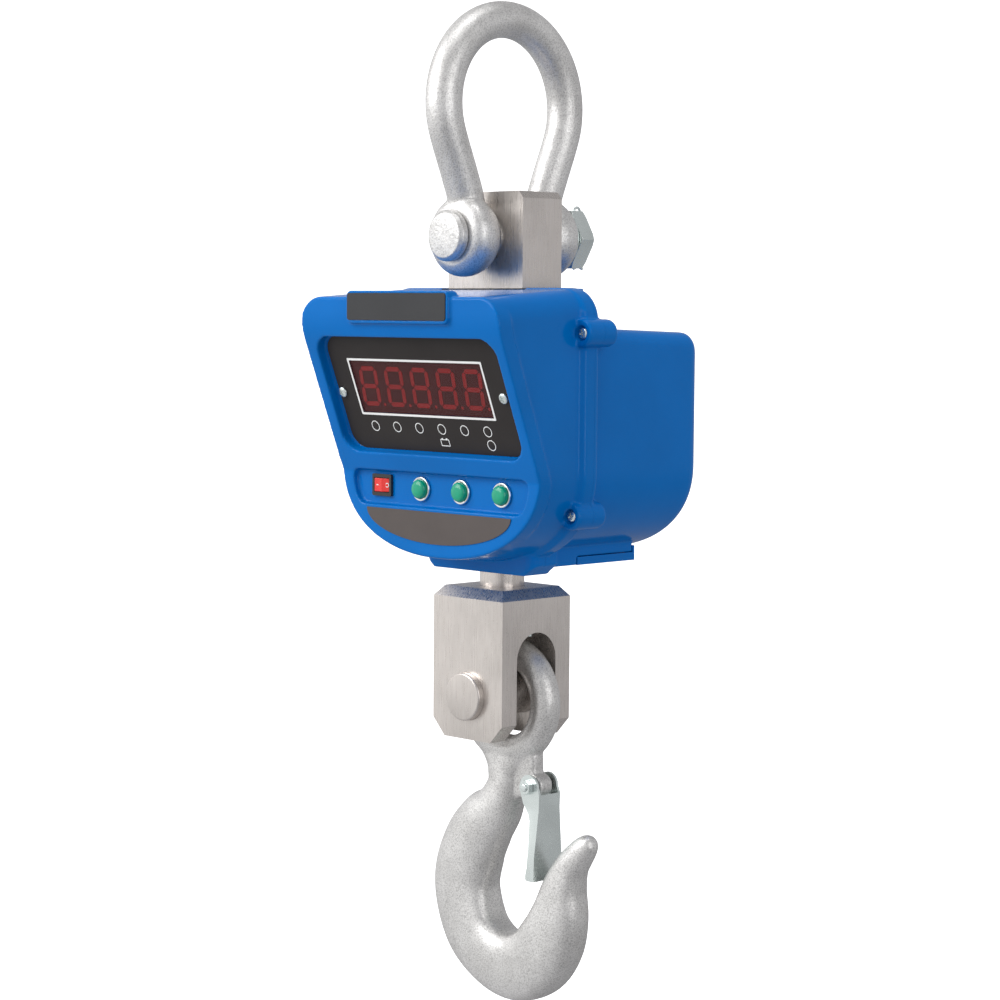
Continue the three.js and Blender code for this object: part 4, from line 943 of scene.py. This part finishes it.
def hook():
    stations = spline([Vector(s) for s in HOOK_LINE], 210)
    rings = []
    for i, (x, z, deep, thick) in enumerate(stations):
        before, after = stations[max(i - 1, 0)], stations[min(i + 1, len(stations) - 1)]
        along = Vector((after[0] - before[0], after[1] - before[1])).normalized()
        # the section is fuller on the outside of the bend and narrows to the saddle
        in_bowl = min(1, max(0, (i - 78) / 20)) * min(1, max(0, (176 - i) / 18))
        square = 2 / (2 + 1.0 * in_bowl)
        ring = []
        for s in range(40):
            t = 2 * math.pi * s / 40
            depth = deep * math.copysign(abs(math.cos(t)) ** square, math.cos(t))
            across = thick * math.copysign(abs(math.sin(t)) ** square, math.sin(t))
            across *= 1 - 0.2 * in_bowl * max(0, -math.cos(t)) ** 1.5
            ring.append((x - along.y * depth, HOOK_Y + across, z + along.x * depth))
        rings.append(ring)
    body = loft("hook_forging", rings)
    count, sides = 120, 36
    verts = []
    for x, z in circle(EYE_X, EYE_Z, EYE_R, count):
        p = Vector((x, HOOK_Y, z))
        out = (p - Vector((EYE_X, HOOK_Y, EYE_Z))).normalized()
        verts += [p + EYE_BAR * (out * math.cos(t) + Vector((0, math.sin(t), 0)))
                  for t in (2 * math.pi * s / sides for s in range(sides))]
    faces = [(r * sides + s, r * sides + (s + 1) % sides,
              ((r + 1) % count) * sides + (s + 1) % sides, ((r + 1) % count) * sides + s)
             for r in range(count) for s in range(sides)]
    lug = prism("lug", circle(LATCH_X, LATCH_Z, 8.5, 48), HOOK_Y - 6.5, HOOK_Y + 6.5)
    slices = []
    for y, inset in ((-6.5, 2.5), (-4.5, 0), (4.5, 0), (6.5, 2.5)):
        corners = ((5, -524 - inset), (28 - inset, -520 - inset), (34.5 - inset, -527),
                   (34.8 - inset, LATCH_Z + 6), (LATCH_X - inset, LATCH_Z - 8 + inset),
                   (8, LATCH_Z - 14 + inset))
        slices.append([(x, HOOK_Y + y, z) for x, z in corners])
    root = loft("root", slices)
    fused(body, made("eye", verts, faces), lug, root)
    cast(body, 1.0, 16)
    cut(body, rod("y", (LATCH_X, 0, LATCH_Z), -30, 50, 3.4, 32))
    dress(body, ZINC, "hook", ["hook"])


def latch():
    sheet = 2.0
    web_top = LATCH_Z - 5
    outline = [(LATCH_X + 9 * math.cos(t), LATCH_Z + 9 * math.sin(t))
               for t in (math.pi * i / 32 for i in range(33))]
    inside = ((-8.2, -5), (-5.4, -13), (0.2, -20), (2, -25), (3, -48))
    outline += [(LATCH_X + x, LATCH_Z + z) for x, z in inside]
    outline += [(LATCH_X + x, LATCH_LOW + z) for x, z in ((2, 10), (0.5, 4), (0.6, 1), (2, 0), (9.1, 0))]
    outline += [(LATCH_X + 11.1, web_top), (LATCH_X + 9, LATCH_Z)]
    top, low = LATCH_IN + 2.2, 14.6

    def taper(inset):
        wide, narrow = top - inset, low - inset
        side = [(wide, -500), (wide, -566), (narrow, -600), (narrow, -640)]
        outline = [(HOOK_Y + y, z) for y, z in side] + [(HOOK_Y - y, z) for y, z in reversed(side)]
        return prism("taper", outline, -20, 80, "yz")

    body = common(prism("latch_pressing", outline, HOOK_Y - 20, HOOK_Y + 20), taper(0))
    hollow = taper(sheet)
    opening = box(-20, 80, -40, 60, web_top, -500)
    fused(opening, box(-20, LATCH_X + 8.9 - sheet, -40, 60, -640, web_top + 1))
    cut(body, common(hollow, opening))
    cut(body, rod("y", (LATCH_X, 0, LATCH_Z), -30, 50, 3.4, 48))
    bevelled(body, 0.55, 3)
    dress(body, PLATED, "latch", ["latch"])

    near, far = HOOK_Y - LATCH_IN - 2.2, HOOK_Y + LATCH_IN + 2.2
    centre = (LATCH_X, 0, LATCH_Z)
    steps = [(near - 6, 2.4), (near - 5.4, 3), (far + 0.3, 3), (far + 0.3, 5.4), (far + 3.6, 5.0)]
    bolt = lathe("latch_bolt_turned", "y", centre, rounded_steps(steps, 0.5), 64)
    dress(shade(bolt), PLATED, "hook", ["latch_bolt"])
    nut = prism("latch_nut_hex", hexagon(9.6), near - 4.6, near - 0.3)
    moved(nut, Matrix.Translation(centre))
    common(nut, lathe("chamfer", "y", centre, [(near - 4.6, 4.9), (near - 3.9, 5.8), (near - 0.3, 5.8)], 48))
    cut(nut, rod("y", centre, -30, 50, 3.1, 32))
    dress(bevelled(nut, 0.15, 2), PLATED, "hook", ["latch_nut"])

    turns, wire, radius, count = 2.0, 0.42, 4.6, 120
    start, end = HOOK_Y + 7.1, HOOK_Y + LATCH_IN - 0.75
    coil = []
    for i in range(count + 1):
        t = 2 * math.pi * turns * i / count
        coil.append(Vector((LATCH_X + radius * math.cos(t), start + (end - start) * i / count,
                            LATCH_Z + radius * math.sin(t))))
    spring = bar("latch_spring_coil", coil, Vector((0, 1, 0)), wire, 12)
    dress(shade(spring, 60), DARK_STEEL, "hook", ["latch_spring"])


shackle()
front_case()
rear_case()
screws()
display()
controls()
hook_block()
hook()
latch()

recut("load_cell", STEEL, "scale_body", 1.0)
for node in ("front_gauge_cover", "rear_gauge_cover", "thrust_bearing"):
    coat_node(node, STEEL)
for node in ("swivel_nut", "nut_lock_pin", "shaft_lock_pin"):
    coat_node(node, PLATED)
for node in ("left_gasket", "right_gasket", "top_seal", "shaft_seal"):
    coat_node(node, RUBBER)
for node in ("display_board", "main_board"):
    coat_node(node, BOARD)
coat_node("battery", BLACK)
coat_node("charge_socket", BLACK, 0.3)
recut("battery_cover", BLUE, "scale_body", 1.3)


# ---- studio ----
def stage():
    floor_z = cad_box[0][2] - 0.25
    reach, round_off = 6.0, 2.5
    profile = [(0.001, floor_z)]
    profile += [(reach + round_off * math.sin(t), floor_z + round_off * (1 - math.cos(t)))
                for t in (math.pi / 2 * i / 24 for i in range(25))]
    profile.append((reach + round_off, floor_z + 11))
    count = 96
    verts = [(x / MM, y / MM, z / MM) for r, z in profile for x, y in circle(0, 0, r, count)]
    faces = [(k * count + i, k * count + (i + 1) % count,
              (k + 1) * count + (i + 1) % count, (k + 1) * count + i)
             for k in range(len(profile) - 1) for i in range(count)]
    sweep = shade(made("backdrop", verts, faces), 60)
    white = finish_material("backdrop_white", (0.9, 0.9, 0.9), 0.9, 0.0, 0.005, 1, 20,
                            relief=0.0, gloss_spread=0.02)
    glow = white.node_tree.nodes["Principled BSDF"]
    glow.inputs["Emission Color"].default_value = (1, 1, 1, 1)
    glow.inputs["Emission Strength"].default_value = 1.0
    sweep.data.materials.append(white)
    sweep.visible_diffuse = False
    sweep.visible_glossy = False
    sweep.visible_shadow = False


def lamp(name, azimuth, elevation, distance, size, watts):
    light = bpy.data.lights.new(name, "AREA")
    light.size = size
    light.energy = watts
    obj = bpy.data.objects.new(name, light)
    bpy.context.collection.objects.link(obj)
    a, e = math.radians(azimuth), math.radians(elevation)
    aim = Vector((0, 0, -0.33))
    away = Vector((math.sin(a) * math.cos(e), -math.cos(a) * math.cos(e), math.sin(e)))
    obj.location = aim + away * distance
    obj.rotation_euler = away.to_track_quat("Z", "Y").to_euler()
    obj.visible_camera = False


def studio():
    """Bright to the left of the camera, and dimmer ahead of the object, behind it and to its right."""
    world = bpy.data.worlds.new("studio")
    bpy.context.scene.world = world
    world.use_nodes = True
    tree = world.node_tree
    background = tree.nodes["Background"]
    where = add_node(tree, "ShaderNodeTexCoord")
    facing = add_node(tree, "ShaderNodeVectorMath", operation="DOT_PRODUCT")
    facing.inputs[1].default_value = (0.707, 0.707, 0.0)
    tree.links.new(where.outputs["Generated"], facing.inputs[0])
    turn = spread(tree, facing.outputs["Value"], 0.0, 1.0, -1.0, 1.0)
    around = ramp(tree, turn, [
        (0.0, (0.86, 0.86, 0.86)), (0.18, (0.80, 0.80, 0.81)), (0.36, (0.56, 0.56, 0.57)),
        (0.5, (0.40, 0.40, 0.41)), (0.75, (0.42, 0.42, 0.43)), (1.0, (0.52, 0.52, 0.53))])
    parts = add_node(tree, "ShaderNodeSeparateXYZ")
    tree.links.new(where.outputs["Generated"], parts.inputs["Vector"])
    rise = spread(tree, parts.outputs["Z"], 0.0, 1.0, -1.0, 1.0)
    upright = ramp(tree, rise, [
        (0.0, (0.8, 0.8, 0.81)), (0.35, (0.62, 0.62, 0.62)), (0.5, (1.0, 1.0, 1.0)),
        (0.75, (0.9, 0.9, 0.9)), (1.0, (0.6, 0.6, 0.6))])
    tree.links.new(multiplied(tree, around, upright), background.inputs["Color"])
    background.inputs["Strength"].default_value = 1.2
    lamp("key", -30, 32, 2.6, 1.8, 40)
    lamp("fill", 80, 14, 2.6, 1.8, 15)
    lamp("top", 30, 82, 2.4, 1.6, 16)
    bpy.context.scene.view_settings.view_transform = "Standard"


def camera():
    azimuth, pitch, roll, yaw = (math.radians(v) for v in (45.0, 4.23, 0.44, 0.062))
    distance, height, focal = 1891.1, -199.4, 2.553
    data = bpy.data.cameras.new("camera")
    data.sensor_width = 36
    data.lens = 36 * focal
    data.clip_end = 100
    view = bpy.data.objects.new("camera", data)
    bpy.context.collection.objects.link(view)
    turn = azimuth + yaw
    forward = Vector((-math.sin(turn) * math.cos(pitch), math.cos(turn) * math.cos(pitch), -math.sin(pitch)))
    level = Vector((math.cos(turn), math.sin(turn), 0))
    down = forward.cross(level)
    right = level * math.cos(roll) - down * math.sin(roll)
    up = -(level * math.sin(roll) + down * math.cos(roll))
    rotation = Matrix((right, up, -forward)).transposed().to_4x4()
    place = Vector((distance * math.sin(azimuth), -distance * math.cos(azimuth), height)) * MM
    view.matrix_world = Matrix.Translation(place) @ rotation
    bpy.context.scene.camera = view


stage()
studio()
camera()
bpy.context.view_layer.update()
